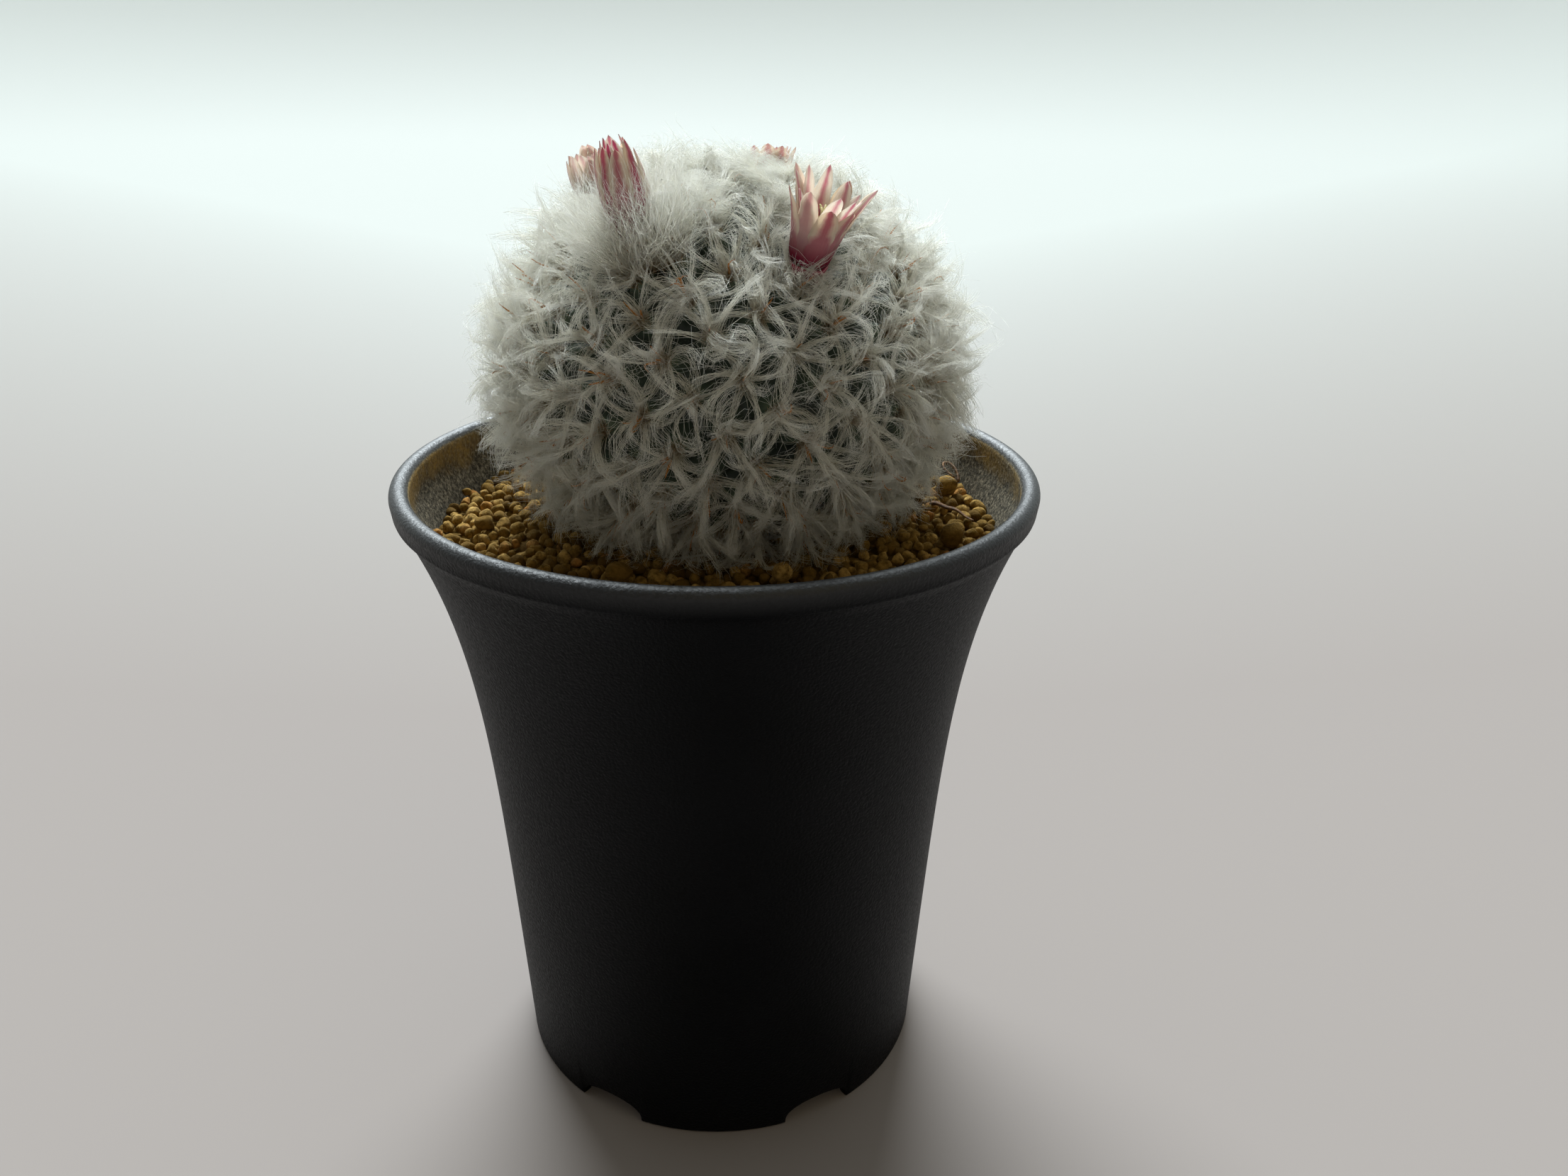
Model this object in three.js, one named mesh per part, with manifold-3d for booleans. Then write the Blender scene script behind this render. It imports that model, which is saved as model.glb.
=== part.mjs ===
// Potted powder-puff cactus in flower: a woolly globe mammillaria in a flared black nursery pot.
// Millimetres, +Z up. The origin is on the ground, at the centre of the pot's foot.

import * as THREE from "three";
import { ConvexGeometry } from "three/addons/geometries/ConvexGeometry.js";
import { mergeVertices } from "three/addons/utils/BufferGeometryUtils.js";
import Module from "manifold-3d";

const wasm = await Module();
wasm.setup();

// Clearance between pieces that touch.
const gap = 0.3;
const turn = 2 * Math.PI;
const goldenAngle = Math.PI * (3 - Math.sqrt(5));

// Pot: one injection-moulded shell. Its side is a plain draft with a trumpet flare added near the mouth.
const pot = {
  height: 93.6,
  lipRadius: 45,
  footRadius: 31.4,
  draft: 5.4, // growth of the radius from foot to mouth by the plain taper
  flare: 9.1, // further growth at the mouth
  flarePower: 5.2,
  wall: 1.3,
  beadRadius: 1.35, // rounding on top of the lip
  lipBand: 3.6, // height of the thicker band around the mouth
  footRing: 1.6, // thickness of the ring that stands on the ground
  footEdge: 0.4, // bevel around the bottom
  floorLift: 4, // underside of the floor above the ground
  floorThickness: 1.6,
  floorCorner: 3, // height of the slanting corner between floor and wall
  segments: 48,
};
const footNotch = { count: 6, width: 11, height: 3.2, turnDegrees: -3 };
const drain = { count: 6, radius: 3.5, ringRadius: 17, centreRadius: 4.5 };

// Soil: akadama granules up to just below the lip, a little higher around the plant.
const soil = { level: 85.5, mound: 1.2 };
const granules = [
  { x: -12.4, y: -24.8, radius: 1.5 },
  { x: 7.9, y: -26, radius: 1.6 },
  { x: 34.4, y: 8.4, radius: 1.9 },
  { x: 31.4, y: -12.6, radius: 2 },
  { x: -32.4, y: -6.2, radius: 1.5 },
];
// Dry litter on the soil: a straight sliver and a curled bit of old root.
const sliver = {
  radius: 0.4,
  steps: 6,
  points: [[31.2, 2.8, 0], [33.4, -0.6, 0.3], [36, -4.8, 0]],
};
const fibre = {
  radius: 0.35,
  steps: 12,
  points: [[35.2, 16.2, 0], [37.2, 14.6, 1.4], [36.4, 12.4, 2.4], [34.6, 13.4, 1.6], [35.4, 14.9, 0.8]],
};

// Plant: an oblate globe whose tubercles follow one spiral at the golden angle.
const plant = {
  centre: new THREE.Vector3(1.4, 1, 107.6),
  radius: 28.6, // out to the tubercle tips
  halfHeight: 22.9,
  tubercles: 180,
  tubercleDepth: 0.14, // of the radius
  rootRadius: 5.5,
  rootLength: 42, // below the globe
  rootOverlap: 6, // how far the root reaches up into the globe
};
// The coat of hair spines reaches this far beyond the tubercle tips.
const coat = { depth: 6.7, topDepth: 5.2, tuftRelief: 0.055 };

// Flowers: where each foot sits on the globe in degrees, which way it leans, its length, the radius of
// its mouth and how much it bulges below the mouth.
const flowers = [
  {
    place: "left_front",
    azimuth: -122,
    rise: 43.4,
    lean: [-4, -1.7, 16.7],
    length: 17.3,
    mouth: 2,
    belly: 0.6,
  },
  {
    place: "left_rear",
    azimuth: 167.4,
    rise: 53.5,
    lean: [-4.4, -3, 12.4],
    length: 13.2,
    mouth: 2.6,
    belly: 0.5,
  },
  {
    place: "rear",
    azimuth: 66,
    rise: 56,
    lean: [0.6, 1.6, 11.3],
    length: 11.4,
    mouth: 3.4,
    belly: 0.3,
  },
  {
    place: "right_front",
    azimuth: -66.7,
    rise: 36.5,
    lean: [3.7, -5.2, 14.2],
    length: 16.8,
    mouth: 5.3,
    belly: 0.3,
  },
];
const flowerFootDepth = 0.87; // of the globe's radius: between the tubercles
const floralTube = { length: 6, footRadius: 1.1, topRadius: 2.5, cupDepth: 1.6, cupRadius: 1.75 };
const tepal = { count: 8, thickness: 0.35, widest: 1.15, rows: 4 };
const corolla = { teeth: 8, thickness: 0.3, foot: 1.7, joined: 0.3, reach: 0.9, rows: 3 };
const stamens = { bore: 0.65, foot: 1.2, top: 1.55, reach: 0.62 };
const style = { radius: 0.35, stigma: 0.75, reach: 0.78 };

const finish = (color, roughness, metalness = 0) =>
  new THREE.MeshStandardMaterial({ color, roughness, metalness });
const potPlastic = finish(0x14171a, 0.45);
const akadama = finish(0x9a7526, 0.95);
const dryPlant = finish(0x5a3a1c, 0.8);
const skin = finish(0x3f5142, 0.6);
const hair = finish(0xe6e3dc, 0.9);
const tubeSkin = finish(0xa5384a, 0.6);
const outerPetal = finish(0xd98f86, 0.6);
const innerPetal = finish(0xefe6bf, 0.6);
const pollen = finish(0xe8cf6a, 0.8);
const stigmaGreen = finish(0xd8d79a, 0.6);

const root = new THREE.Group();

function add(name, geometry, material, parent = root) {
  const mesh = new THREE.Mesh(geometry, material);
  mesh.name = name;
  parent.add(mesh);
  return mesh;
}

// Turns a closed geometry into a manifold solid: shared corners merged, collapsed triangles dropped.
function toSolid(geometry) {
  const bare = geometry.clone();
  bare.deleteAttribute("normal");
  bare.deleteAttribute("uv");
  const merged = mergeVertices(bare, 1e-4);
  const index = merged.index.array;
  const triVerts = [];
  for (let i = 0; i < index.length; i += 3) {
    const [a, b, c] = index.slice(i, i + 3);
    if (a !== b && b !== c && c !== a) triVerts.push(a, b, c);
  }
  return new wasm.Manifold(
    new wasm.Mesh({
      numProp: 3,
      vertProperties: merged.attributes.position.array,
      triVerts: new Uint32Array(triVerts),
    }),
  );
}

function toGeometry(solid) {
  const { vertProperties, triVerts } = solid.getMesh();
  const geometry = new THREE.BufferGeometry();
  geometry.setAttribute("position", new THREE.BufferAttribute(vertProperties, 3));
  geometry.setIndex(new THREE.BufferAttribute(triVerts, 1));
  geometry.computeVertexNormals();
  return geometry;
}

// A profile of [radius, height] pairs turned about the vertical axis.
function lathe(profile, segments) {
  const points = profile.map(([r, z]) => new THREE.Vector2(r, z));
  return new THREE.LatheGeometry(points, segments).rotateX(Math.PI / 2);
}

// A list of count + 1 values of f, for t from 0 to 1.
const steps = (count, f) => Array.from({ length: count + 1 }, (_, i) => f(i / count));

// ---- pot and soil

function potSide(z) {
  const t = z / pot.height;
  return pot.footRadius + pot.draft * t + pot.flare * t ** pot.flarePower;
}

const potBore = (z) => Math.min(potSide(z) - pot.wall, pot.lipRadius - 2 * pot.beadRadius);

function potShell() {
  const { height, lipRadius, beadRadius, footRadius, footRing, footEdge, floorLift, floorCorner } = pot;
  const floorTop = floorLift + pot.floorThickness;
  const bandFoot = height - pot.lipBand;
  const profile = [
    [0, floorLift],
    [footRadius - footRing, floorLift],
    [footRadius - footRing, 0],
    [footRadius - footEdge, 0],
    // outside, with closer steps where the flare bends most
    ...steps(9, (t) => {
      const z = footEdge + (bandFoot - footEdge) * t ** 0.6;
      return [potSide(z), z];
    }),
    [lipRadius - 0.3, bandFoot + 0.4],
    // over the lip
    ...steps(5, (t) => [
      lipRadius - beadRadius + beadRadius * Math.cos(Math.PI * t),
      height - beadRadius + beadRadius * Math.sin(Math.PI * t),
    ]),
    // inside, down to the floor
    ...steps(8, (t) => {
      const z = bandFoot - 1 - (bandFoot - floorTop - floorCorner) * t ** 1.6;
      return [potBore(z), z];
    }),
    [potBore(floorTop) - floorCorner / 2, floorTop],
    [0, floorTop],
  ];
  let shell = toSolid(lathe(profile, pot.segments));
  for (const cut of [...footNotches(), ...drainHoles()]) shell = shell.subtract(toSolid(cut));
  return toGeometry(shell);
}

// Arched gaps in the foot ring that let the drained water run out.
function footNotches() {
  const depth = 8;
  return Array.from({ length: footNotch.count }, (_, i) => {
    const angle = THREE.MathUtils.degToRad(footNotch.turnDegrees) + (i * turn) / footNotch.count;
    return new THREE.CylinderGeometry(footNotch.width / 2, footNotch.width / 2, depth, 16)
      .scale(1, 1, (2 * footNotch.height) / footNotch.width)
      .rotateZ(Math.PI / 2)
      .translate(pot.footRadius, 0, 0)
      .rotateZ(angle);
  });
}

function drainHoles() {
  const depth = 4 * pot.floorThickness;
  const hole = (radius, ring, angle) =>
    new THREE.CylinderGeometry(radius, radius, depth, 12)
      .rotateX(Math.PI / 2)
      .translate(ring, 0, pot.floorLift + pot.floorThickness / 2)
      .rotateZ(angle);
  const ring = Array.from({ length: drain.count }, (_, i) =>
    hole(drain.radius, drain.ringRadius, (i * turn) / drain.count),
  );
  return [hole(drain.centreRadius, 0, 0), ...ring];
}

const soilHeight = (r) => soil.level + soil.mound * (1 - (r / potBore(soil.level)) ** 2);

function soilBed() {
  const floorTop = pot.floorLift + pot.floorThickness + gap;
  const topEdge = 0.96 * (potBore(soil.level) - gap);
  const profile = [
    [0, floorTop],
    [potBore(floorTop) - gap - 2, floorTop],
    ...steps(8, (t) => {
      const z = floorTop + pot.floorCorner + (soil.level - floorTop - pot.floorCorner) * t ** 0.6;
      return [potBore(z) - gap - 0.1, z];
    }),
    ...steps(4, (t) => [topEdge * (1 - t), soilHeight(topEdge * (1 - t))]),
  ];
  const bed = toSolid(lathe(profile, pot.segments));
  return toGeometry(bed.subtract(toSolid(globe(gap, gap, 32, 24))).subtract(rootSolid(gap)));
}

// A granule of baked clay: a rough little ball, flattened where it rests.
function granule(radius, seed) {
  const geometry = new THREE.IcosahedronGeometry(radius, 1);
  const position = geometry.attributes.position;
  const point = new THREE.Vector3();
  for (let i = 0; i < position.count; i++) {
    point.fromBufferAttribute(position, i);
    const key = Math.round(point.x * 7) + Math.round(point.y * 11) + Math.round(point.z * 13) + seed;
    point.multiplyScalar(0.9 + 0.1 * Math.sin(key * 2.3));
    position.setXYZ(i, point.x, point.y, Math.max(point.z * 0.85, -0.6 * radius));
  }
  return geometry;
}

function looseGranules() {
  granules.forEach(({ x, y, radius }, i) => {
    const mesh = add(`loose_granule_${i + 1}`, granule(radius, i), akadama);
    mesh.position.set(x, y, soilHeight(Math.hypot(x, y)) + gap + 0.6 * radius);
  });
}

// A thin stalk through points given as [x, y, height above the soil].
function stalk({ points, radius, steps: length }) {
  const path = new THREE.CatmullRomCurve3(
    points.map(([x, y, z]) => new THREE.Vector3(x, y, soilHeight(Math.hypot(x, y)) + gap + radius + z)),
  );
  const section = new THREE.Shape().absarc(0, 0, radius, 0, turn);
  const options = { steps: length, curveSegments: 4, bevelEnabled: false, extrudePath: path };
  return new THREE.ExtrudeGeometry(section, options);
}

// ---- plant

// The smooth globe, grown by the given amounts sideways and upwards.
function globe(sideways, upwards, around, up) {
  return new THREE.SphereGeometry(1, around, up)
    .rotateX(Math.PI / 2)
    .scale(plant.radius + sideways, plant.radius + sideways, plant.halfHeight + upwards)
    .translate(plant.centre.x, plant.centre.y, plant.centre.z);
}

// Directions of the tubercles, from the crown down.
function spiral(count) {
  return Array.from({ length: count }, (_, i) => {
    const z = 1 - (2 * i + 1) / count;
    const r = Math.sqrt(1 - z * z);
    return new THREE.Vector3(r * Math.cos(i * goldenAngle), r * Math.sin(i * goldenAngle), z);
  });
}

// A globe with one peak at each spiral point. Between neighbours it sinks to 1 - relief, at once on the
// whole of the valley (edges: true) or only in its corners.
function peakedGlobe(relief, size, edges) {
  const net = new ConvexGeometry(spiral(plant.tubercles)).attributes.position;
  const corners = [];
  const sink = (v) => v.normalize().multiplyScalar(1 - relief);
  for (let i = 0; i < net.count; i += 3) {
    const [a, b, c] = [0, 1, 2].map((k) => new THREE.Vector3().fromBufferAttribute(net, i + k));
    const middle = sink(a.clone().add(b).add(c));
    for (const [p, q] of [[a, b], [b, c], [c, a]]) {
      const saddle = sink(p.clone().add(q));
      corners.push(...(edges ? [p, saddle, middle, saddle, q, middle] : [p, q, middle]));
    }
  }
  return new THREE.BufferGeometry()
    .setFromPoints(corners)
    .scale(size.x, size.y, size.z)
    .translate(plant.centre.x, plant.centre.y, plant.centre.z);
}

function rootSolid(clearance) {
  const { rootRadius, rootLength, rootOverlap, centre, halfHeight } = plant;
  const crown = centre.z - halfHeight;
  const thinning = (t) => 0.12 + 0.88 * t ** 1.4; // from the root's tip up
  const profile = [
    [0, crown - rootLength - clearance],
    ...steps(5, (t) => [rootRadius * thinning(t) + clearance, crown - rootLength * (1 - t)]),
    [rootRadius + clearance, crown + rootOverlap],
    [0, crown + rootOverlap],
  ];
  return toSolid(lathe(profile, 16).translate(centre.x, centre.y, 0));
}

function cactusBody() {
  const size = new THREE.Vector3(plant.radius, plant.radius, plant.halfHeight);
  let body = toSolid(peakedGlobe(plant.tubercleDepth, size, true)).add(rootSolid(0));
  for (const flower of flowers) body = body.subtract(flowerEnvelope(flower));
  return toGeometry(body);
}

// The space that the hair spines fill, open underneath where the globe meets the soil.
function spineCoat() {
  const outer = new THREE.Vector3(
    plant.radius + coat.depth,
    plant.radius + coat.depth,
    plant.halfHeight + coat.topDepth,
  );
  const floor = soil.level + soil.mound + gap;
  const below = new THREE.BoxGeometry(4 * pot.lipRadius, 4 * pot.lipRadius, floor).translate(0, 0, floor / 2);
  let shell = toSolid(peakedGlobe(coat.tuftRelief, outer, false))
    .subtract(toSolid(globe(0.8, 0.8, 28, 18)))
    .subtract(toSolid(below));
  for (const flower of flowers) shell = shell.subtract(flowerEnvelope(flower));
  return toGeometry(shell);
}

// ---- flowers

// Radius of the ring of outer tepals at t, from their foot to their tips.
const bloomRadius = ({ mouth, belly }, t) =>
  THREE.MathUtils.lerp(floralTube.topRadius, mouth, t * t) + belly * Math.sin(Math.PI * t);

const bladeFoot = floralTube.length + gap;
const bladeLength = (flower) => flower.length - bladeFoot;

function flowerPlacement({ azimuth, rise, lean }) {
  const [a, e] = [azimuth, rise].map(THREE.MathUtils.degToRad);
  const foot = new THREE.Vector3(
    plant.radius * Math.cos(e) * Math.cos(a),
    plant.radius * Math.cos(e) * Math.sin(a),
    plant.halfHeight * Math.sin(e),
  );
  const group = new THREE.Group();
  group.position.copy(foot.multiplyScalar(flowerFootDepth).add(plant.centre));
  group.quaternion.setFromUnitVectors(new THREE.Vector3(0, 0, 1), new THREE.Vector3(...lean).normalize());
  group.updateMatrix();
  return group;
}

// The flower's outline with clearance: what it takes out of the body and of the coat.
function flowerEnvelope(flower) {
  const clearance = 0.4;
  const outline = steps(6, (t) => [bloomRadius(flower, t) + clearance, bladeFoot + bladeLength(flower) * t]);
  const profile = [
    [0, -clearance],
    [floralTube.footRadius + clearance, -clearance],
    [floralTube.topRadius + clearance, floralTube.length],
    ...outline,
    [0, flower.length + 1],
  ];
  return toSolid(lathe(profile, 16).applyMatrix4(flowerPlacement(flower).matrix));
}

// Ovary and tube, with the cup on top that holds the stamens.
function tubeGeometry() {
  const { length, footRadius, topRadius, cupDepth, cupRadius } = floralTube;
  const profile = [
    [0, 0],
    [footRadius * 0.8, 0],
    ...steps(3, (t) => [THREE.MathUtils.lerp(footRadius, topRadius, t ** 0.8), 0.4 + (length - 0.4) * t]),
    [cupRadius, length],
    [cupRadius * 0.8, length - cupDepth],
    [0, length - cupDepth],
  ];
  return lathe(profile, 10);
}

// A closed surface over a grid of points: place(i, j, side) with side -1 inside and +1 outside.
function blade(rows, columns, closed, place) {
  const corners = [];
  const quad = (a, b, c, d) => corners.push(a, b, c, a, c, d);
  const last = closed ? columns : columns - 1;
  const at = (i, j, side) => place(i, closed ? j % columns : j, side);
  for (let j = 0; j < last; j++) {
    for (let i = 0; i < rows - 1; i++) {
      quad(at(i, j, 1), at(i, j + 1, 1), at(i + 1, j + 1, 1), at(i + 1, j, 1));
      quad(at(i, j, -1), at(i + 1, j, -1), at(i + 1, j + 1, -1), at(i, j + 1, -1));
    }
    const top = rows - 1;
    quad(at(0, j, -1), at(0, j + 1, -1), at(0, j + 1, 1), at(0, j, 1));
    quad(at(top, j, 1), at(top, j + 1, 1), at(top, j + 1, -1), at(top, j, -1));
  }
  for (let i = 0; !closed && i < rows - 1; i++) {
    quad(at(i, 0, -1), at(i, 0, 1), at(i + 1, 0, 1), at(i + 1, 0, -1));
    quad(at(i, last, 1), at(i, last, -1), at(i + 1, last, -1), at(i + 1, last, 1));
  }
  return new THREE.BufferGeometry().setFromPoints(corners);
}

const polar = (r, angle, z) => new THREE.Vector3(r * Math.cos(angle), r * Math.sin(angle), z);

// One outer tepal: a narrow blade with a pointed tip, cupped around the flower's axis.
function tepalGeometry(flower, angle) {
  const { count, thickness, widest, rows } = tepal;
  return blade(rows + 1, 3, false, (i, j, side) => {
    const t = i / rows;
    const r = bloomRadius(flower, t);
    const room = Math.PI / count - (gap / 2 + 0.02) / (r - thickness);
    const half = Math.min((widest * (1 - 0.8 * t ** 4)) / r, room);
    const height = bladeFoot + bladeLength(flower) * t;
    return polar(r + (side > 0 ? 0 : -thickness), angle + half * (j - 1), height);
  });
}

// The inner tepals, joined in one ring at the foot and parting into pointed teeth.
function corollaGeometry(flower) {
  const { teeth, thickness, foot, joined, reach, rows } = corolla;
  return blade(rows + 1, 2 * teeth, true, (i, j, side) => {
    const height = j % 2 ? joined : reach;
    const t = (i / rows) * height;
    const inset = floralTube.topRadius - foot - thickness / 2;
    const r = bloomRadius(flower, t) - inset + (side > 0 ? 0 : -thickness);
    return polar(r, ((j + 0.5) * Math.PI) / teeth, bladeFoot + bladeLength(flower) * t);
  });
}

// A brush of stamens around the style.
function stamenGeometry(flower) {
  const { bore, foot, top, reach } = stamens;
  const low = floralTube.length - floralTube.cupDepth + gap;
  const high = bladeFoot + bladeLength(flower) * reach;
  const profile = [
    [bore, low],
    [foot, low],
    [foot, bladeFoot],
    [top * 0.85, high - 1],
    [top * 0.7, high],
    [bore, high - 0.4],
    [bore, low],
  ];
  return lathe(profile, 10);
}

function styleGeometry(flower) {
  const low = floralTube.length - floralTube.cupDepth + gap;
  const high = bladeFoot + bladeLength(flower) * style.reach;
  const profile = [
    [0, low],
    [style.radius, low],
    [style.radius, high - 1],
    [style.stigma, high - 0.5],
    [style.stigma * 0.5, high],
    [0, high],
  ];
  return lathe(profile, 8);
}

function addFlower(flower) {
  const group = flowerPlacement(flower);
  const name = `flower_${flower.place}`;
  add(`${name}_tube`, tubeGeometry(), tubeSkin, group);
  for (let i = 0; i < tepal.count; i++) {
    add(`${name}_tepal_${i + 1}`, tepalGeometry(flower, (i * turn) / tepal.count), outerPetal, group);
  }
  add(`${name}_corolla`, corollaGeometry(flower), innerPetal, group);
  add(`${name}_stamens`, stamenGeometry(flower), pollen, group);
  add(`${name}_style`, styleGeometry(flower), stigmaGreen, group);
  root.add(group);
}

add("pot", potShell(), potPlastic);
add("soil_bed", soilBed(), akadama);
looseGranules();
add("dry_sliver", stalk(sliver), dryPlant);
add("root_fibre", stalk(fibre), dryPlant);
add("cactus_body", cactusBody(), skin);
add("spine_coat", spineCoat(), hair);
flowers.forEach(addFlower);

export default root;
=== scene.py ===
import math

import bmesh
import bpy
import numpy as np
from mathutils import Matrix, Vector
from mathutils.kdtree import KDTree


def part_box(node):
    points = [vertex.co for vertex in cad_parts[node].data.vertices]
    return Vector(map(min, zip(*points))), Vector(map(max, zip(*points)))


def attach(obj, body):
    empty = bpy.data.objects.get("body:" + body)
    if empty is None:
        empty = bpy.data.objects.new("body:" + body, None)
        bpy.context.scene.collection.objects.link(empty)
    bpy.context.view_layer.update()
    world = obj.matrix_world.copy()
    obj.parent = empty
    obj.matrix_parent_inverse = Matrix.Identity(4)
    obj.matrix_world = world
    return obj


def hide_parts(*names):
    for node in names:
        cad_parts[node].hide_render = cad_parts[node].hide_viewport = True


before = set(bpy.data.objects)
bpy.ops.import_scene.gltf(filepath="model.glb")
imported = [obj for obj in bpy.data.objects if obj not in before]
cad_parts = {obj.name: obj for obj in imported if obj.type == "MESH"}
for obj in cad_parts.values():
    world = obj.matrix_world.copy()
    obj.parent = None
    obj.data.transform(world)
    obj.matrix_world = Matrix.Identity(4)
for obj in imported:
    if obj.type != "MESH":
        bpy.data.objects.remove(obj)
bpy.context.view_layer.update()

mm = 0.001
turn = 2 * math.pi
goldenAngle = math.pi * (3 - math.sqrt(5))
body = "root"


def linear(hexColour):
    # sRGB hex, such as "#e8e2d4", to linear RGBA
    channels = [int(hexColour[i:i + 2], 16) / 255 for i in (1, 3, 5)]
    return [c / 12.92 if c <= 0.04045 else ((c + 0.055) / 1.055) ** 2.4 for c in channels] + [1.0]


def addNode(tree, kind, inputs=None, **settings):
    node = tree.nodes.new(kind)
    for name, value in settings.items():
        setattr(node, name, value)
    for name, value in (inputs or {}).items():
        if isinstance(value, bpy.types.NodeSocket):
            tree.links.new(value, node.inputs[name])
        elif isinstance(value, str):
            node.inputs[name].default_value = linear(value)
        else:
            node.inputs[name].default_value = value
    return node


def noise(tree, size, detail=4.0, roughness=0.5, stretch=None):
    # fractal noise whose features are this many millimetres across, or stretched by a factor for each axis
    place = addNode(tree, "ShaderNodeTexCoord").outputs["Object"]
    if stretch:
        place = addNode(tree, "ShaderNodeMapping", {"Vector": place, "Scale": stretch}).outputs["Vector"]
    settings = {"Vector": place, "Scale": 1 / (size * mm), "Detail": detail, "Roughness": roughness}
    return addNode(tree, "ShaderNodeTexNoise", settings).outputs["Fac"]


def attribute(tree, name):
    return addNode(tree, "ShaderNodeAttribute", attribute_name=name).outputs["Fac"]


def ramp(tree, value, *stops):
    # a colour for each level of the value: (level, hex) pairs
    node = addNode(tree, "ShaderNodeValToRGB", {"Fac": value})
    marks = node.color_ramp.elements
    while len(marks) < len(stops):
        marks.new(0.5)
    for mark, (level, colour) in zip(marks, stops):
        mark.position = level
        mark.color = linear(colour)
    return node.outputs["Color"]


def remap(tree, value, low, high, toLow=0.0, toHigh=1.0):
    settings = {"Value": value, "From Min": low, "From Max": high, "To Min": toLow, "To Max": toHigh}
    return addNode(tree, "ShaderNodeMapRange", settings).outputs["Result"]


def combined(tree, operation, first, second):
    return addNode(tree, "ShaderNodeMath", {0: first, 1: second}, operation=operation).outputs["Value"]


def mixed(tree, factor, first, second):
    # two colours, hex or socket
    return addNode(tree, "ShaderNodeMix", {0: factor, 6: first, 7: second}, data_type="RGBA").outputs[2]


def relief(tree, height, depth, strength=1.0):
    # the shading of bumps this many millimetres deep
    settings = {"Height": height, "Distance": depth * mm, "Strength": strength}
    return addNode(tree, "ShaderNodeBump", settings).outputs["Normal"]


def newMaterial(name):
    material = bpy.data.materials.new(name)
    material.use_nodes = True
    material.node_tree.nodes.clear()
    return material, material.node_tree


def surface(tree, settings, glow=0.0):
    # one Principled shader; with glow, that share of the light passes through thin tissue instead
    result = addNode(tree, "ShaderNodeBsdfPrincipled", settings).outputs["BSDF"]
    if glow:
        tissue = addNode(tree, "ShaderNodeBsdfTranslucent", {"Color": settings["Base Color"]})
        blend = {0: glow, 1: result, 2: tissue.outputs["BSDF"]}
        result = addNode(tree, "ShaderNodeMixShader", blend).outputs["Shader"]
    addNode(tree, "ShaderNodeOutputMaterial", {"Surface": result})


def addAttribute(mesh, key, values):
    # a number for each point, for the material to read
    layer = mesh.attributes.new(key, "FLOAT", "POINT")
    layer.data.foreach_set("value", np.asarray(values, dtype=np.float32))


def newMesh(points, faces, attributes=None):
    # a smooth mesh. faces: one array for each face size, such as quads and triangles
    mesh = bpy.data.meshes.new("mesh")
    groups = faces if isinstance(faces, list) else [faces]
    corners = np.concatenate([np.asarray(group).ravel() for group in groups])
    sizes = np.concatenate([np.full(len(group), group.shape[1]) for group in groups])
    mesh.vertices.add(len(points))
    mesh.vertices.foreach_set("co", np.asarray(points, dtype=np.float32).ravel())
    mesh.loops.add(len(corners))
    mesh.loops.foreach_set("vertex_index", corners.astype(np.int32))
    mesh.polygons.add(len(sizes))
    mesh.polygons.foreach_set("loop_start", (np.cumsum(sizes) - sizes).astype(np.int32))
    mesh.polygons.foreach_set("use_smooth", np.ones(len(sizes), dtype=bool))
    for key, values in (attributes or {}).items():
        addAttribute(mesh, key, values)
    mesh.update(calc_edges=True)
    return mesh


def addObject(name, data):
    thing = bpy.data.objects.new(name, data)
    bpy.context.scene.collection.objects.link(thing)
    return thing


def addPiece(name, mesh, material, stands):
    piece = addObject(name, mesh)
    mesh.name = name
    mesh.materials.append(material)
    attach(piece, body)
    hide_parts(*stands)
    return piece


def gridFaces(rows, columns, closed=False):
    # quads over rows x columns points, row by row; closed joins the last column to the first
    i, j = np.meshgrid(np.arange(rows - 1), np.arange(columns if closed else columns - 1), indexing="ij")
    k = (j + 1) % columns
    quads = np.stack([i * columns + j, i * columns + k, (i + 1) * columns + k, (i + 1) * columns + j], -1)
    return quads.reshape(-1, 4)


def pointsOf(vertices):
    return np.array([v.co[:] for v in vertices])


def ringAngles(count):
    return np.linspace(0, turn, count, endpoint=False)


def polar(r, angle, z):
    return np.stack([r * np.cos(angle), r * np.sin(angle), z], -1)


def unitVectors(vectors):
    return vectors / np.maximum(np.linalg.norm(vectors, axis=-1, keepdims=True), 1e-12)


def towards(azimuth, rise):
    # the unit vector at this azimuth and rise, in degrees
    a, e = math.radians(azimuth), math.radians(rise)
    return np.array([math.cos(e) * math.cos(a), math.cos(e) * math.sin(a), math.sin(e)])


def boxOf(node):
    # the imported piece's lowest and highest corner, in millimetres
    low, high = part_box(node)
    return np.array(low) / mm, np.array(high) / mm


def welded(mesh):
    # merges the doubled points on the axis of a turned shape
    weld = bmesh.new()
    weld.from_mesh(mesh)
    bmesh.ops.remove_doubles(weld, verts=weld.verts, dist=1e-6)
    bmesh.ops.recalc_face_normals(weld, faces=weld.faces)
    weld.to_mesh(mesh)
    weld.free()
    return mesh


def unitBall(solid):
    # a solid's points pushed out to a sphere, and its faces
    points = unitVectors(pointsOf(solid.verts))
    faces = np.array([[v.index for v in f.verts] for f in solid.faces])
    solid.free()
    return points, faces


def turned(profile, angles, lifts=0):
    # a closed shape turned about the vertical axis, from (radius, height) points in millimetres
    r, z = np.array(profile).T[:, :, None]
    points = polar(r, angles, z + lifts + 0 * angles)
    faces = gridFaces(len(profile), len(angles), closed=True)
    return welded(newMesh(points.reshape(-1, 3) * mm, faces))


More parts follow.
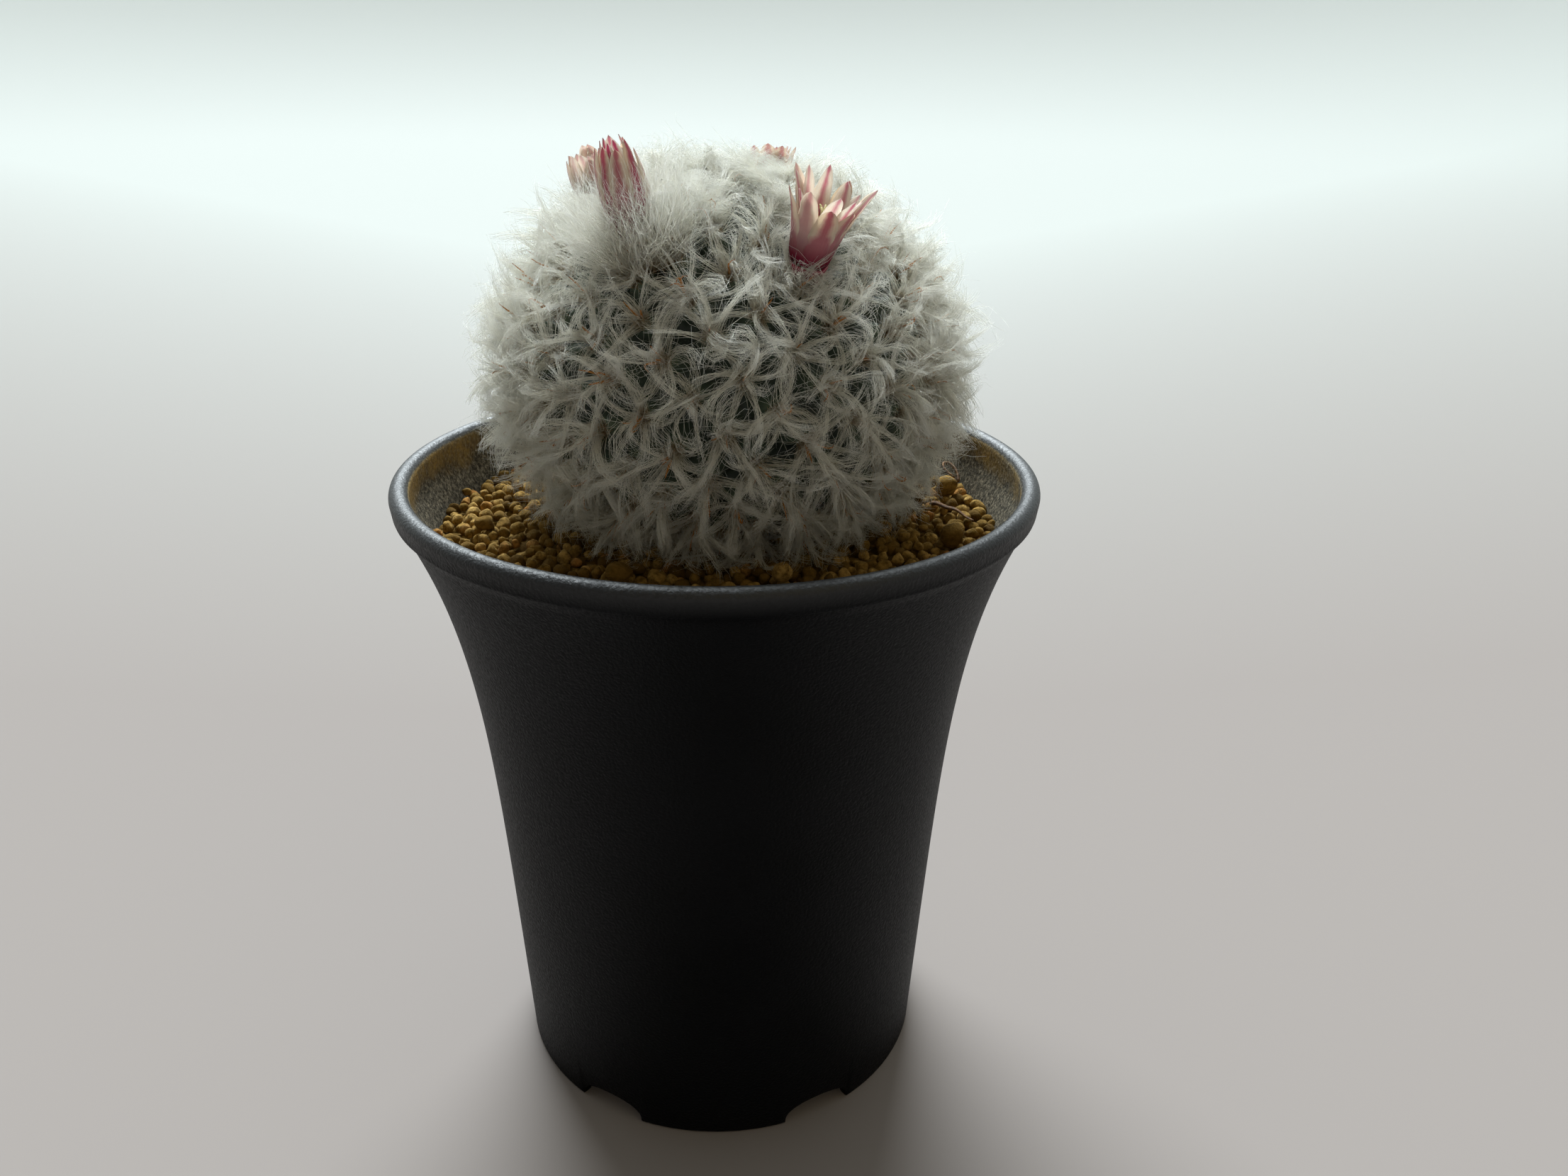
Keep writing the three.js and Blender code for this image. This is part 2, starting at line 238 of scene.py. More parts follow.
view = {"distance": 171, "height": 148.8, "yaw": 3.2, "pitch": 23.49, "roll": 0.8, "lens": 28.97}


def addCamera():
    data = bpy.data.cameras.new("camera")
    data.lens = view["lens"]
    data.sensor_width = 36
    data.clip_start = 0.005
    camera = addObject("camera", data)
    place = Matrix.Translation((0, -view["distance"] * mm, view["height"] * mm))
    aim = Matrix.Rotation(-math.radians(view["yaw"]), 4, "Z")
    aim = aim @ Matrix.Rotation(math.radians(90 - view["pitch"]), 4, "X")
    camera.matrix_world = place @ aim @ Matrix.Rotation(math.radians(view["roll"]), 4, "Z")
    bpy.context.scene.camera = camera


# metres; the lamps' azimuth and rise are degrees, seen from the plant
studio = {
    # the board's two paints: darker near the plant as painted shade, paler behind it as painted light
    "shadeToLightPaint": ("#7f7874", "#9fa19d"), "floorRadius": 8.0, "sweep": 6.0, "wall": 3.6,
    "paintedLightFrom": 0.15, "paintedLightTo": 1.1, "toneSpan": 10.0, "toneWidth": (0.6, 9.6),
    "tentWhiteAndPaintedLight": "#d8dbd8", "tentShare": 0.5, "tentRise": (0.5, 1.9), "tentDepth": (0.0, 3.5),
    "sky": "#ebf4f6", "skyFront": 0.05, "skyBack": 1.7, "skyTurn": (-0.4, 1.0),
    "window": {"power": 8.4, "azimuth": 97, "rise": 49, "spread": 36, "colour": "#f0faff"},
    "fill": {"power": 0.42, "azimuth": -65, "rise": 42, "spread": 70, "colour": "#ffe8ae"},
}


def addSun(name):
    lamp = studio[name]
    data = bpy.data.lights.new(name, "SUN")
    data.energy = lamp["power"]
    data.angle = math.radians(lamp["spread"])
    data.color = linear(lamp["colour"])[:3]
    sun = addObject(name, data)
    aim = Vector(towards(lamp["azimuth"], lamp["rise"]))
    sun.rotation_euler = aim.to_track_quat("Z", "Y").to_euler()


def paintedBoard():
    # board with matte emulsion paint: no gloss, a soft tone; it is paler behind the plant, which is painted
    # light from the window side, and darker near and in front of it, which is painted shade
    material, tree = newMaterial("emulsionPaintWithPaintedLight")
    place = addNode(tree, "ShaderNodeTexCoord").outputs["Object"]
    place = addNode(tree, "ShaderNodeSeparateXYZ", {"Vector": place}).outputs
    # the change of tone, painted light and shade, widens towards the sides, so that no edge of it shows
    aside = combined(tree, "ABSOLUTE", place["X"], 0.0)
    width = remap(tree, aside, 0.0, studio["toneSpan"], *studio["toneWidth"])
    # painted light: the board pales behind the plant
    paintedLight = remap(tree, combined(tree, "DIVIDE", place["Y"], width), studio["paintedLightFrom"], studio["paintedLightTo"])
    colour = mixed(tree, paintedLight, *studio["shadeToLightPaint"])
    # where it rises behind the plant it lets light through, like the wall of a light tent, and is painted
    # white: partly the white of a tent wall, partly painted light that brightens the wall behind the plant
    raised = combined(tree, "MULTIPLY", remap(tree, place["Z"], *studio["tentRise"]),
                      remap(tree, place["Y"], *studio["tentDepth"]))
    # the white paint on the raised wall is partly painted light
    colour = mixed(tree, raised, colour, studio["tentWhiteAndPaintedLight"])
    tent = combined(tree, "MULTIPLY", raised, studio["tentShare"])
    surface(tree, {"Base Color": colour, "Roughness": 0.9, "Specular IOR Level": 0.15}, glow=tent)
    return material


def addSky():
    # an even soft light, stronger from behind the plant as from a wide window
    world = bpy.data.worlds.new("sky")
    bpy.context.scene.world = world
    world.use_nodes = True
    tree = world.node_tree
    direction = addNode(tree, "ShaderNodeTexCoord").outputs["Generated"]
    depth = addNode(tree, "ShaderNodeSeparateXYZ", {"Vector": direction}).outputs["Y"]
    background = tree.nodes["Background"]
    background.inputs["Color"].default_value = linear(studio["sky"])
    strength = remap(tree, depth, *studio["skyTurn"], studio["skyFront"], studio["skyBack"])
    tree.links.new(strength, background.inputs["Strength"])


def addStudio():
    # a round floor that sweeps up into a wall, so that no edge of it shows from any side
    flat, sweep, wall = studio["floorRadius"], studio["sweep"], studio["wall"]
    profile = [(r, 0) for r in np.linspace(0, flat - sweep, 12)]
    profile += [(flat - sweep + sweep * math.sin(a), wall - wall * math.cos(a))
                for a in np.linspace(0, math.pi / 2, 40)[1:]]
    floor = addObject("floor", turned(np.array(profile) / mm, ringAngles(96)))
    floor.data.materials.append(paintedBoard())


bpy.context.scene.view_settings.view_transform = "Standard"
addCamera()
addSky()
addSun("window")
addSun("fill")
addStudio()
print("stage 2: camera, light and floor")


potLow, potHigh = boxOf("pot")
# millimetres
potShape = {
    "rimRadius": (potHigh[0] - potLow[0]) / 2, "height": potHigh[2],
    "footRadius": 31.4, "draft": 5.4, "flare": 9.1, "flarePower": 5.2,
    "wall": 1.3, "bead": 1.35, "lipBand": 3.6, "footRing": 1.6, "footEdge": 0.45,
    "floorLift": 4.0, "floorThickness": 1.6, "floorFillet": 2.0,
    "notches": 6, "notchWidth": 11, "notchHeight": 3.2, "notchTurn": -3, "notchFade": 6.5,
    "drains": 6, "drainRadius": 3.5, "drainRing": 17, "centreDrain": 4.5, "footCorner": 0.8,
    "stainReach": 9, "stainFade": 6, "shineReach": 2.4, "shineFade": 1.9,
}


def potSide(z):
    t = z / potShape["height"]
    return potShape["footRadius"] + potShape["draft"] * t + potShape["flare"] * t ** potShape["flarePower"]


def potBore(z):
    return np.minimum(potSide(z) - potShape["wall"], potShape["rimRadius"] - 2 * potShape["bead"])


def arc(centre, radius, start, end, count):
    angles = np.radians(np.linspace(start, end, count))
    return [(centre[0] + radius * math.cos(a), centre[1] + radius * math.sin(a)) for a in angles]


def potProfile():
    s = potShape
    bandFoot = s["height"] - s["lipBand"]
    floorTop = s["floorLift"] + s["floorThickness"]
    ringInside = s["footRadius"] - s["footRing"]
    edge, corner = s["footEdge"], s["footCorner"]
    profile = [(r, s["floorLift"]) for r in np.linspace(0, ringInside - corner, 12)]
    profile += arc((ringInside - corner, s["floorLift"] - corner), corner, 90, 0, 4)[1:]
    profile += [(ringInside, z) for z in np.linspace(s["floorLift"] - 2 * corner, 2 * edge, 3)]
    profile += arc((ringInside + edge, edge), edge, 180, 270, 4)
    profile += arc((potSide(edge) - edge, edge), edge, 270, 360, 4)
    heights = edge + (bandFoot - edge) * np.linspace(0, 1, 46)[1:] ** 0.75
    profile += [(potSide(z), z) for z in heights]
    # the lip's band stands out from the side with a soft inner corner
    step = s["rimRadius"] - 0.25 - potSide(bandFoot)
    for share, rise in ((0.25, 0.02), (0.6, 0.08), (0.88, 0.22), (1.0, 0.5)):
        profile.append((potSide(bandFoot) + step * share, bandFoot + rise))
    crown = s["height"] - s["bead"]
    profile += arc((s["rimRadius"] - s["bead"], crown), s["bead"], 0, 180, 21)
    heights = crown - 0.6 - (crown - 0.6 - floorTop - s["floorFillet"]) * np.linspace(0, 1, 40) ** 1.2
    profile += [(float(potBore(z)), z) for z in heights]
    inset = float(potBore(floorTop + s["floorFillet"])) - s["floorFillet"]
    profile += arc((inset, floorTop + s["floorFillet"]), s["floorFillet"], 0, -90, 6)[1:]
    profile += [(r, floorTop) for r in np.linspace(inset, 0, 10)[1:]]
    return np.array(profile)


def notchColumns():
    # column angles, closer together where each arch springs, and the arch height at each
    s = potShape
    half = s["notchWidth"] / 2 / s["footRadius"]
    pitch = turn / s["notches"]
    angles, lifts = [], []
    for n in range(s["notches"]):
        centre = math.radians(s["notchTurn"]) + n * pitch
        for c in np.linspace(0, math.pi, 29):
            angles.append(centre - half * math.cos(c))
            lifts.append(s["notchHeight"] * math.sin(c) ** 0.8)
        for share in np.linspace(0, 1, 26)[1:-1]:
            angles.append(centre + half + share * (pitch - 2 * half))
            lifts.append(0)
    return np.array(angles), np.array(lifts)


def drainCutter():
    s = potShape
    cutter = bmesh.new()
    spots = [(0, 0, s["centreDrain"])]
    for k in range(s["drains"]):
        angle = k * turn / s["drains"]
        spots.append((s["drainRing"] * math.cos(angle), s["drainRing"] * math.sin(angle), s["drainRadius"]))
    for x, y, radius in spots:
        spot = Matrix.Translation(Vector((x, y, s["floorLift"] + s["floorThickness"] / 2)) * mm)
        bmesh.ops.create_cone(cutter, cap_ends=True, segments=48, radius1=radius * mm, radius2=radius * mm,
                              depth=3 * s["floorThickness"] * mm, matrix=spot)
    mesh = bpy.data.meshes.new("drainCutter")
    cutter.to_mesh(mesh)
    cutter.free()
    return addObject("drainCutter", mesh)


def cutWith(mesh, cutter):
    # the mesh with the cutter's solids taken out
    host = addObject("cutHost", mesh)
    modifier = host.modifiers.new("cut", "BOOLEAN")
    modifier.operation = "DIFFERENCE"
    modifier.solver = "EXACT"
    modifier.object = cutter
    bpy.context.view_layer.update()
    done = bpy.data.meshes.new_from_object(host.evaluated_get(bpy.context.evaluated_depsgraph_get()))
    for item in (host, cutter):
        bpy.data.objects.remove(item)
    return done


def potMesh():
    s = potShape
    profile = potProfile()
    angles, lifts = notchColumns()
    r, z = profile.T[:, :, None]
    # the foot's arches die out up the ring's wall
    fade = np.clip(1 - z / s["notchFade"], 0, 1) * (r > s["footRadius"] - s["footRing"] - 0.01)
    mesh = cutWith(turned(profile, angles, lifts * fade), drainCutter())
    places = pointsOf(mesh.vertices) / mm
    height = places[:, 2]
    over = np.hypot(places[:, 0], places[:, 1]) - potBore(np.maximum(height, 0))
    inner = np.clip((0.3 - over) / 0.2, 0, 1) * (height > s["floorLift"] + s["floorThickness"] - 0.1)
    tide = inner * np.clip((height - s["height"] + s["stainReach"]) / s["stainFade"], 0, 1)
    lip = np.clip((height - s["height"] + s["shineReach"]) / s["shineFade"], 0, 1) * (1 - inner)
    for key, values in (("inner", inner), ("tide", tide), ("lip", lip)):
        addAttribute(mesh, key, values)
    return mesh


def potPolypropylene():
    # black polypropylene, injection-moulded in a spark-eroded mould: a satin skin with a fine leathery
    # grain that breaks up the shine on the lip; the inner wall is grey with dust and stained ochre by clay
    material, tree = newMaterial("mouldedPolypropylene")
    outer = ramp(tree, noise(tree, 14), (0.35, "#050607"), (0.65, "#08090b"))
    dust = ramp(tree, noise(tree, 0.5, 6.0, 0.75, stretch=(1, 1, 0.8)),
                (0.36, "#211f1b"), (0.5, "#534e43"), (0.64, "#8d8471"))
    tide = combined(tree, "MULTIPLY", attribute(tree, "tide"), 0.5)
    patch = combined(tree, "ADD", noise(tree, 9, 5.0, 0.7), tide)
    stain = remap(tree, patch, 0.82, 1.1)
    speck = remap(tree, noise(tree, 0.6, 4.0, 0.7), 0.38, 0.62, 0.45, 1.0)
    inner = mixed(tree, combined(tree, "MULTIPLY", stain, speck), dust, "#977c48")
    colour = mixed(tree, attribute(tree, "inner"), outer, inner)
    # the real grain is near 0.1 mm: drawn at 0.4 mm so that it shows
    grain = noise(tree, 0.4, 3.0)
    rough = remap(tree, grain, 0.3, 0.7, 0.4, 0.58)
    rough = combined(tree, "MAXIMUM", rough, remap(tree, attribute(tree, "inner"), 0.0, 1.0, 0.0, 0.85))
    # the lip, rubbed by handling, shines most
    shine = remap(tree, attribute(tree, "lip"), 0.0, 1.0, 0.08, 0.5)
    surface(tree, {"Base Color": colour, "Roughness": rough, "Normal": relief(tree, grain, 0.12, 1.0),
                   "IOR": 1.49, "Specular IOR Level": shine})
    return material


pot = addPiece("pot_shell", potMesh(), potPolypropylene(), ["pot"])
print("stage 3: pot,", len(pot.data.vertices), "points")


plantShape = {
    "areoles": 236, "tubercleDepth": 0.17, "tubercleWidth": 0.088, "flatness": 22.9 / 28.6,
    "rootSeed": 3, "rootRadius": 5.2, "rootLength": 41.5, "rootWobble": 1.1, "rootOverlap": 5,
}
plantLow, plantHigh = boxOf("cactus_body")
plantRadius = (plantHigh[0] - plantLow[0]) / 2
plantHalf = plantRadius * plantShape["flatness"]
plantCentre = np.array([*(plantHigh + plantLow)[:2] / 2, plantHigh[2] - plantHalf])
plantSize = np.array([plantRadius, plantRadius, plantHalf])


def spiral(count):
    # one golden-angle spiral from the crown down, as unit vectors
    i = np.arange(count)
    z = 1 - (2 * i + 1) / count
    r = np.sqrt(1 - z * z)
    return polar(r, i * goldenAngle, z)


areoles = spiral(plantShape["areoles"])


def globeMesh():
    globe = bmesh.new()
    bmesh.ops.create_icosphere(globe, subdivisions=6, radius=1)
    directions, faces = unitBall(globe)
    near = KDTree(len(areoles))
    for n, areole in enumerate(areoles):
        near.insert(areole, n)
    near.balance()
    away = np.array([near.find(d)[2] for d in directions])
    peak = np.exp(-(away / plantShape["tubercleWidth"]) ** 2 * 1.2)
    depth = plantShape["tubercleDepth"] * (1 - peak)
    # tubercles stay small and crowded at the crown
    depth = depth * np.clip(1.25 - 0.55 * np.maximum(directions[:, 2], 0) ** 6, 0.5, 1)
    points = directions * (1 - depth)[:, None] * plantSize + plantCentre
    return newMesh(points * mm, faces, {"valley": 1 - peak})


def taprootMesh(rng):
    # a tapering, slightly crooked taproot, from inside the globe down into the soil
    s = plantShape
    rows, columns = 60, 28
    t = np.linspace(0, 1, rows)[:, None]
    angles = ringAngles(columns)[None, :]
    radius = s["rootRadius"] * (0.1 + 0.9 * (1 - t) ** 1.3)
    ridge = 1 + 0.05 * np.sin(5 * angles + 9 * t) + 0.04 * np.sin(11 * angles - 23 * t)
    ridge = ridge + 0.03 * np.sin(60 * t)
    phase = rng.uniform(0, turn, 2)
    x = plantCentre[0] + s["rootWobble"] * t * np.sin(7 * t + phase[0]) + radius * ridge * np.cos(angles)
    y = plantCentre[1] + s["rootWobble"] * t * np.sin(5 * t + phase[1]) + radius * ridge * np.sin(angles)
    top = plantCentre[2] - plantHalf + s["rootOverlap"]
    z = top - (s["rootLength"] + s["rootOverlap"]) * t + 0 * angles
    points = np.stack([x, y, z], -1).reshape(-1, 3)
    ends = points.reshape(rows, columns, 3)[[0, -1]].mean(axis=1)
    k = np.arange(columns)
    last = (rows - 1) * columns
    caps = np.concatenate([
        np.stack([k, (k + 1) % columns, np.full(columns, len(points))], -1),
        np.stack([last + (k + 1) % columns, last + k, np.full(columns, len(points) + 1)], -1)])
    faces = [gridFaces(rows, columns, closed=True)[:, ::-1], caps]
    return newMesh(np.concatenate([points, ends]) * mm, faces)


def cactusSkin():
    # living cactus skin under its wax: dark greyish green with tiny pale flecks; painted shade darkens it
    # towards the valleys between the tubercles, so the tubercle tips look paler
    material, tree = newMaterial("waxyCactusSkin")
    # the dark end of this ramp, in the valleys, is painted shade
    valleyShadedSkin = ramp(tree, attribute(tree, "valley"), (0.0, "#66735c"), (0.4, "#3d4a3c"), (1.0, "#1d2621"))
    fleck = noise(tree, 0.4)
    colour = mixed(tree, remap(tree, fleck, 0.6, 0.75, 0.0, 0.3), valleyShadedSkin, "#7d8773")
    surface(tree, {"Base Color": colour, "Roughness": 0.5, "IOR": 1.4,
                   "Normal": relief(tree, fleck, 0.06, 0.5)})
    return material


def corkyRoot():
    # root bark: corky, dull and brown, ringed by fine cracks
    material, tree = newMaterial("corkyRootBark")
    ring = noise(tree, 1.5, 6.0)
    colour = ramp(tree, ring, (0.35, "#4b3420"), (0.6, "#7b5c3a"), (0.8, "#a08157"))
    surface(tree, {"Base Color": colour, "Roughness": 0.9, "Normal": relief(tree, ring, 0.2)})
    return material


addPiece("cactus_globe", globeMesh(), cactusSkin(), ["cactus_body"])
rootRandom = np.random.default_rng(plantShape["rootSeed"])
addPiece("taproot", taprootMesh(rootRandom), corkyRoot(), ["cactus_body"])
print("stage 4: cactus body")


soilShape = {
    "seed": 11, "grainRadius": (0.75, 1.3), "bigShare": 0.1, "bigRadius": 1.75, "grains": 2300,
    "innerRadius": 12.5, "layer": 2.2, "mound": 1.2, "wallGap": 0.2, "rootGap": 2.2, "belts": 6,
    "tries": 8, "nestling": 0.88, "proud": 0.9, "bedDepth": 1.4, "bedShadeTint": 0.1,
    "moulds": 30, "flats": 9, "knobs": 12, "roughness": 0.4,
}
soilTop = boxOf("soil_bed")[1][2]  # highest point of the mound, at the plant
soilReach = float(potBore(soilTop - soilShape["mound"])) - soilShape["wallGap"]


def soilHeight(r):
    return soilTop - soilShape["mound"] * (r / soilReach) ** 2


def packGrains(rng):
    # each grain goes to the lowest of a few tries, on the bed or on grains already there, not above the top
    s = soilShape
    cell = 2 * s["bigRadius"]
    shelves = {}
    placed = []
    for _ in range(2 * s["grains"]):
        radius = rng.uniform(*s["grainRadius"])
        if rng.random() < s["bigShare"]:
            radius = rng.uniform(s["grainRadius"][1], s["bigRadius"])
        best = None
        for _ in range(s["tries"]):
            far = math.sqrt(rng.uniform(s["innerRadius"] ** 2, (soilReach - radius) ** 2))
            angle = rng.uniform(0, turn)
            x, y = far * math.cos(angle), far * math.sin(angle)
            z = soilHeight(far) - s["layer"] + 0.4 * radius
            ci, cj = int(x // cell), int(y // cell)
            near = [(ci + i, cj + j) for i in (-1, 0, 1) for j in (-1, 0, 1)]
            for other in (o for place in near for o in shelves.get(place, ())):
                room = (radius + other[3]) * s["nestling"]
                flat = (x - other[0]) ** 2 + (y - other[1]) ** 2
                if flat < room * room:
                    z = max(z, other[2] + math.sqrt(room * room - flat))
            if z + radius < soilHeight(far) + s["proud"] and (best is None or z < best[2]):
                best = (x, y, z, radius)
        if best:
            shelves.setdefault((int(best[0] // cell), int(best[1] // cell)), []).append(best)
            placed.append(best)
        if len(placed) == s["grains"]:
            break
    return np.array(placed)


def roundedCube(cuts):
    # an even ball: a cube of quads pushed out to a sphere
    ball = bmesh.new()
    bmesh.ops.create_cube(ball, size=2)
    bmesh.ops.subdivide_edges(ball, edges=ball.edges, cuts=cuts, use_grid_fill=True)
    return unitBall(ball)


def lumpy(ball, rng):
    # a crumbly lump: a ball squeezed at random, with a few flats, knobs and hollows
    s = soilShape
    out = ball * rng.uniform(0.8, 1.12, 3)
    for _ in range(s["flats"]):
        facing = unitVectors(rng.normal(size=3))
        over = np.maximum(out @ facing - rng.uniform(0.6, 0.9), 0)
        out = out - over[:, None] * facing * 0.8
    for _ in range(s["knobs"]):
        facing = unitVectors(rng.normal(size=3))
        amount = s["roughness"] * rng.uniform(-0.6, 0.6)
        out = out * (1 + amount * np.exp(-9 * (1 - ball @ facing)))[:, None]
    return out


def randomTurn(rng):
    w, x, y, z = unitVectors(rng.normal(size=4))
    return np.array([
        [1 - 2 * (y * y + z * z), 2 * (x * y - z * w), 2 * (x * z + y * w)],
        [2 * (x * y + z * w), 1 - 2 * (x * x + z * z), 2 * (y * z - x * w)],
        [2 * (x * z - y * w), 2 * (y * z + x * w), 1 - 2 * (x * x + y * y)]])


def grainMesh(grains, rng):
    ball, faces = roundedCube(3)
    moulds = [lumpy(ball, rng) for _ in range(soilShape["moulds"])]
    points, quads, tints = [], [], []
    for n, (x, y, z, radius) in enumerate(grains):
        grain = moulds[rng.integers(len(moulds))] @ randomTurn(rng).T
        points.append(grain * radius + (x, y, z))
        quads.append(faces + n * len(ball))
        tints.append(np.full(len(ball), rng.random()))
    return newMesh(np.concatenate(points) * mm, np.concatenate(quads), {"tint": np.concatenate(tints)})


def soilBedMesh():
    # the bed under the loose top layer, from the pot's floor up, hollowed under the plant and round its root
    s = potShape
    floorTop = s["floorLift"] + s["floorThickness"] + 0.4
    hollow = plantShape["rootRadius"] + soilShape["rootGap"]
    rootEnd = plantCentre[2] - plantHalf - plantShape["rootLength"] - 1.5
    profile = [(0.0, floorTop), (float(potBore(floorTop)) - 2.6, floorTop)]
    wallTop = soilTop - soilShape["mound"] - soilShape["bedDepth"]
    profile += [(float(potBore(z)) - 0.35, z) for z in np.linspace(floorTop + 2.6, wallTop, 30)]
    for r in np.linspace(soilReach - 0.6, hollow + 0.3, 40):
        dish = plantCentre[2] - plantHalf * math.sqrt(max(0, 1 - (r / (plantRadius + 0.5)) ** 2)) - 0.6
        profile.append((r, min(soilHeight(r) - soilShape["bedDepth"], dish)))
    profile += [(hollow, profile[-1][1] - 1), (hollow - 0.6, rootEnd + 1)]
    profile += [(hollow - 2.4, rootEnd), (0.0, rootEnd)]
    mesh = turned(profile, ringAngles(160))
    # where the bed shows between the grains, its darkest clay shade is painted shade between the grains
    addAttribute(mesh, "tint", np.full(len(mesh.vertices), soilShape["bedShadeTint"]))
    return mesh


def akadamaClay():
    # akadama, a granular volcanic clay, dried and sieved: crumbly and dead matte, ochre to olive, each
    # grain its own shade, browner where damp, with pores and dust that take the light unevenly
    material, tree = newMaterial("driedAkadamaClay")
    shade = ramp(tree, attribute(tree, "tint"), (0.0, "#5a431e"), (0.3, "#886930"), (0.62, "#a38245"),
                 (0.9, "#b69455"), (1.0, "#a9682f"))
    blotch = remap(tree, noise(tree, 0.9, 6.0, 0.7), 0.36, 0.6)
    colour = mixed(tree, blotch, "#5a4419", shade)
    pore = noise(tree, 0.5, 5.0, 0.7)
    surface(tree, {"Base Color": colour, "Roughness": 0.95, "Normal": relief(tree, pore, 0.3),
                   "Specular IOR Level": 0.12})
    return material


def addSoil():
    s = soilShape
    rng = np.random.default_rng(s["seed"])
    clay = akadamaClay()
    addPiece("soil_bed_core", soilBedMesh(), clay, ["soil_bed"])
    grains = packGrains(rng)
    sector = ((np.arctan2(grains[:, 1], grains[:, 0]) / turn * s["belts"]) % s["belts"]).astype(int)
    lots = [(f"soil_grains_{k + 1}", grains[sector == k], "soil_bed") for k in range(s["belts"])]
    for k in range(1, 6):
        low, high = boxOf(f"loose_granule_{k}")
        lots.append((f"granule_{k}", [(*(low + high) / 2, (high - low).max() / 2)], f"loose_granule_{k}"))
    for name, lot, node in lots:
        addPiece(name, grainMesh(lot, rng), clay, [node])
    return len(grains)


print("stage 5: soil,", addSoil(), "grains")

flowerPlaces = ["left_front", "left_rear", "rear", "right_front"]
outerTepals = 8  # on each flower


def cadPoints(node):
    return pointsOf(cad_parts[node].data.vertices) / mm


def flowerFrame(place):
    # the flower's foot, axis and two cross directions, then the blades' foot, tip and outline radii
    stylePoints = cadPoints(f"flower_{place}_style")
    middle = stylePoints.mean(0)
    _, _, axes = np.linalg.svd(stylePoints - middle)
    axis = axes[0] * np.sign(axes[0] @ (middle - plantCentre))
    along = (cadPoints(f"flower_{place}_tube") - middle) @ axis
    foot = middle + axis * along.min()
    blades = np.concatenate([cadPoints(f"flower_{place}_tepal_{k + 1}") for k in range(outerTepals)]) - foot
    height = blades @ axis
    away = np.linalg.norm(blades - height[:, None] * axis, axis=1)
    levels = np.linspace(height.min(), height.max(), 5)
    radii = [away[np.abs(height - level) < 0.8].max() for level in levels]
    east = cadPoints(f"flower_{place}_tepal_1").mean(0) - foot
    east = unitVectors(east - axis * (east @ axis))
    return {"foot": foot, "axis": axis, "east": east, "north": np.cross(axis, east),
            "low": levels[0], "high": levels[-1], "radii": np.array(radii), "tube": along.max() - along.min()}


flowerFrames = {place: flowerFrame(place) for place in flowerPlaces}


# for each flower: how far the blade tips bend outward, how uneven the blades are, how long the inner ones
# are, how the whole flower twists, how red its stripes are and how far the wool climbs round it
bloomHabit = {
    "left_front": {"seed": 21, "tipFlare": 0.1, "uneven": 0.09, "innerLength": 1.03, "twist": 0.22,
                   "red": (0.5, 1.0), "nest": 1.9},
    "left_rear": {"seed": 22, "tipFlare": -0.3, "uneven": 0.12, "innerLength": 0.97, "twist": 0.1,
                  "red": (0.0, 0.3), "nest": 1.1},
    "rear": {"seed": 23, "tipFlare": 0.5, "uneven": 0.12, "innerLength": 1.0, "twist": -0.1,
             "red": (0.1, 0.65), "nest": 0.4},
    "right_front": {"seed": 24, "tipFlare": 0.6, "uneven": 0.12, "innerLength": 1.0, "twist": 0.12,
                    "red": (0.25, 0.8), "nest": 0.85},
}

# millimetres and radians; azimuth, rise and spread are degrees, seen from the globe's centre
hairShape = {
    "seed": 5, "steps": 7, "thickness": 0.062, "pieces": 21, "shades": 16,
    "outerWisps": 8, "outerLift": (14, 50), "crownLift": 20, "innerWisps": 3, "innerLift": (50, 80),
    "length": (8.5, 12.5), "innerLength": 0.92, "bareLength": 0.75, "crownLength": 0.1, "bend": (5, 48),
    "hairs": 24, "bareHairs": 0.3, "crownHairs": 0.8, "clump": 0.86, "flyaways": 0.16,
    "rootSpread": 0.42, "tipSpread": 0.25, "looseSpread": 1.3,
    "wave": 0.28, "looseWave": 0.6, "crownWave": 0.35,
    "curl": 1.0, "crownCurl": 0.8, "swirl": 0.35, "crownRise": 60, "crownBlend": 5,
    "wool": 54, "woolLength": (2.0, 4.8), "bareWool": 0.4, "crownWool": 3.8,
    "nest": 600, "nestLength": (4.8, 6.6), "nestRing": (2.4, 3.9),
    "reach": 8.6, "topReach": 5.6, "reachNoise": 0.1, "wispNoise": 0.32,
}
# where the coat is thin and the skin shows: azimuth, rise, spread
barePatches = [(-140, 47, 8), (-130, 66, 7), (-97, 50, 7), (-45, 35, 7), (-118, 35, 6)]
# where it stands up in a tuft or lies low: azimuth, rise, spread, height
tufts = [(152, 76, 9, 3.5), (10, 65, 9, 2.0), (0, 45, 9, 2.5), (50, 72, 10, -4.0), (-60, 78, 10, -1.5),
         (-126, 56, 8, 4.2), (-150, 62, 8, 2.0), (-8, 0, 16, 1.4), (178, 15, 20, 2.2)]


def nearness(directions, azimuth, rise, spread):
    # 1 in the middle of a patch of the coat, down to 0 outside it
    gap = np.degrees(np.arccos(np.clip(directions @ towards(azimuth, rise), -1, 1)))
    return np.exp(-(gap / spread) ** 2)


def crownShare(directions):
    rise = np.degrees(np.arcsin(np.clip(directions[..., 2], -1, 1)))
    return 1 / (1 + np.exp(-(rise - hairShape["crownRise"]) / hairShape["crownBlend"]))


tuftTips = plantCentre + areoles * plantSize
shown = tuftTips[:, 2] > soilTop - 1.0
tuftTips = tuftTips[shown]
tuftNormals = unitVectors(areoles[shown] / plantSize)
tuftCrown = crownShare(areoles[shown])
tuftFull = 1 - np.max([nearness(areoles[shown], *patch) for patch in barePatches], axis=0)


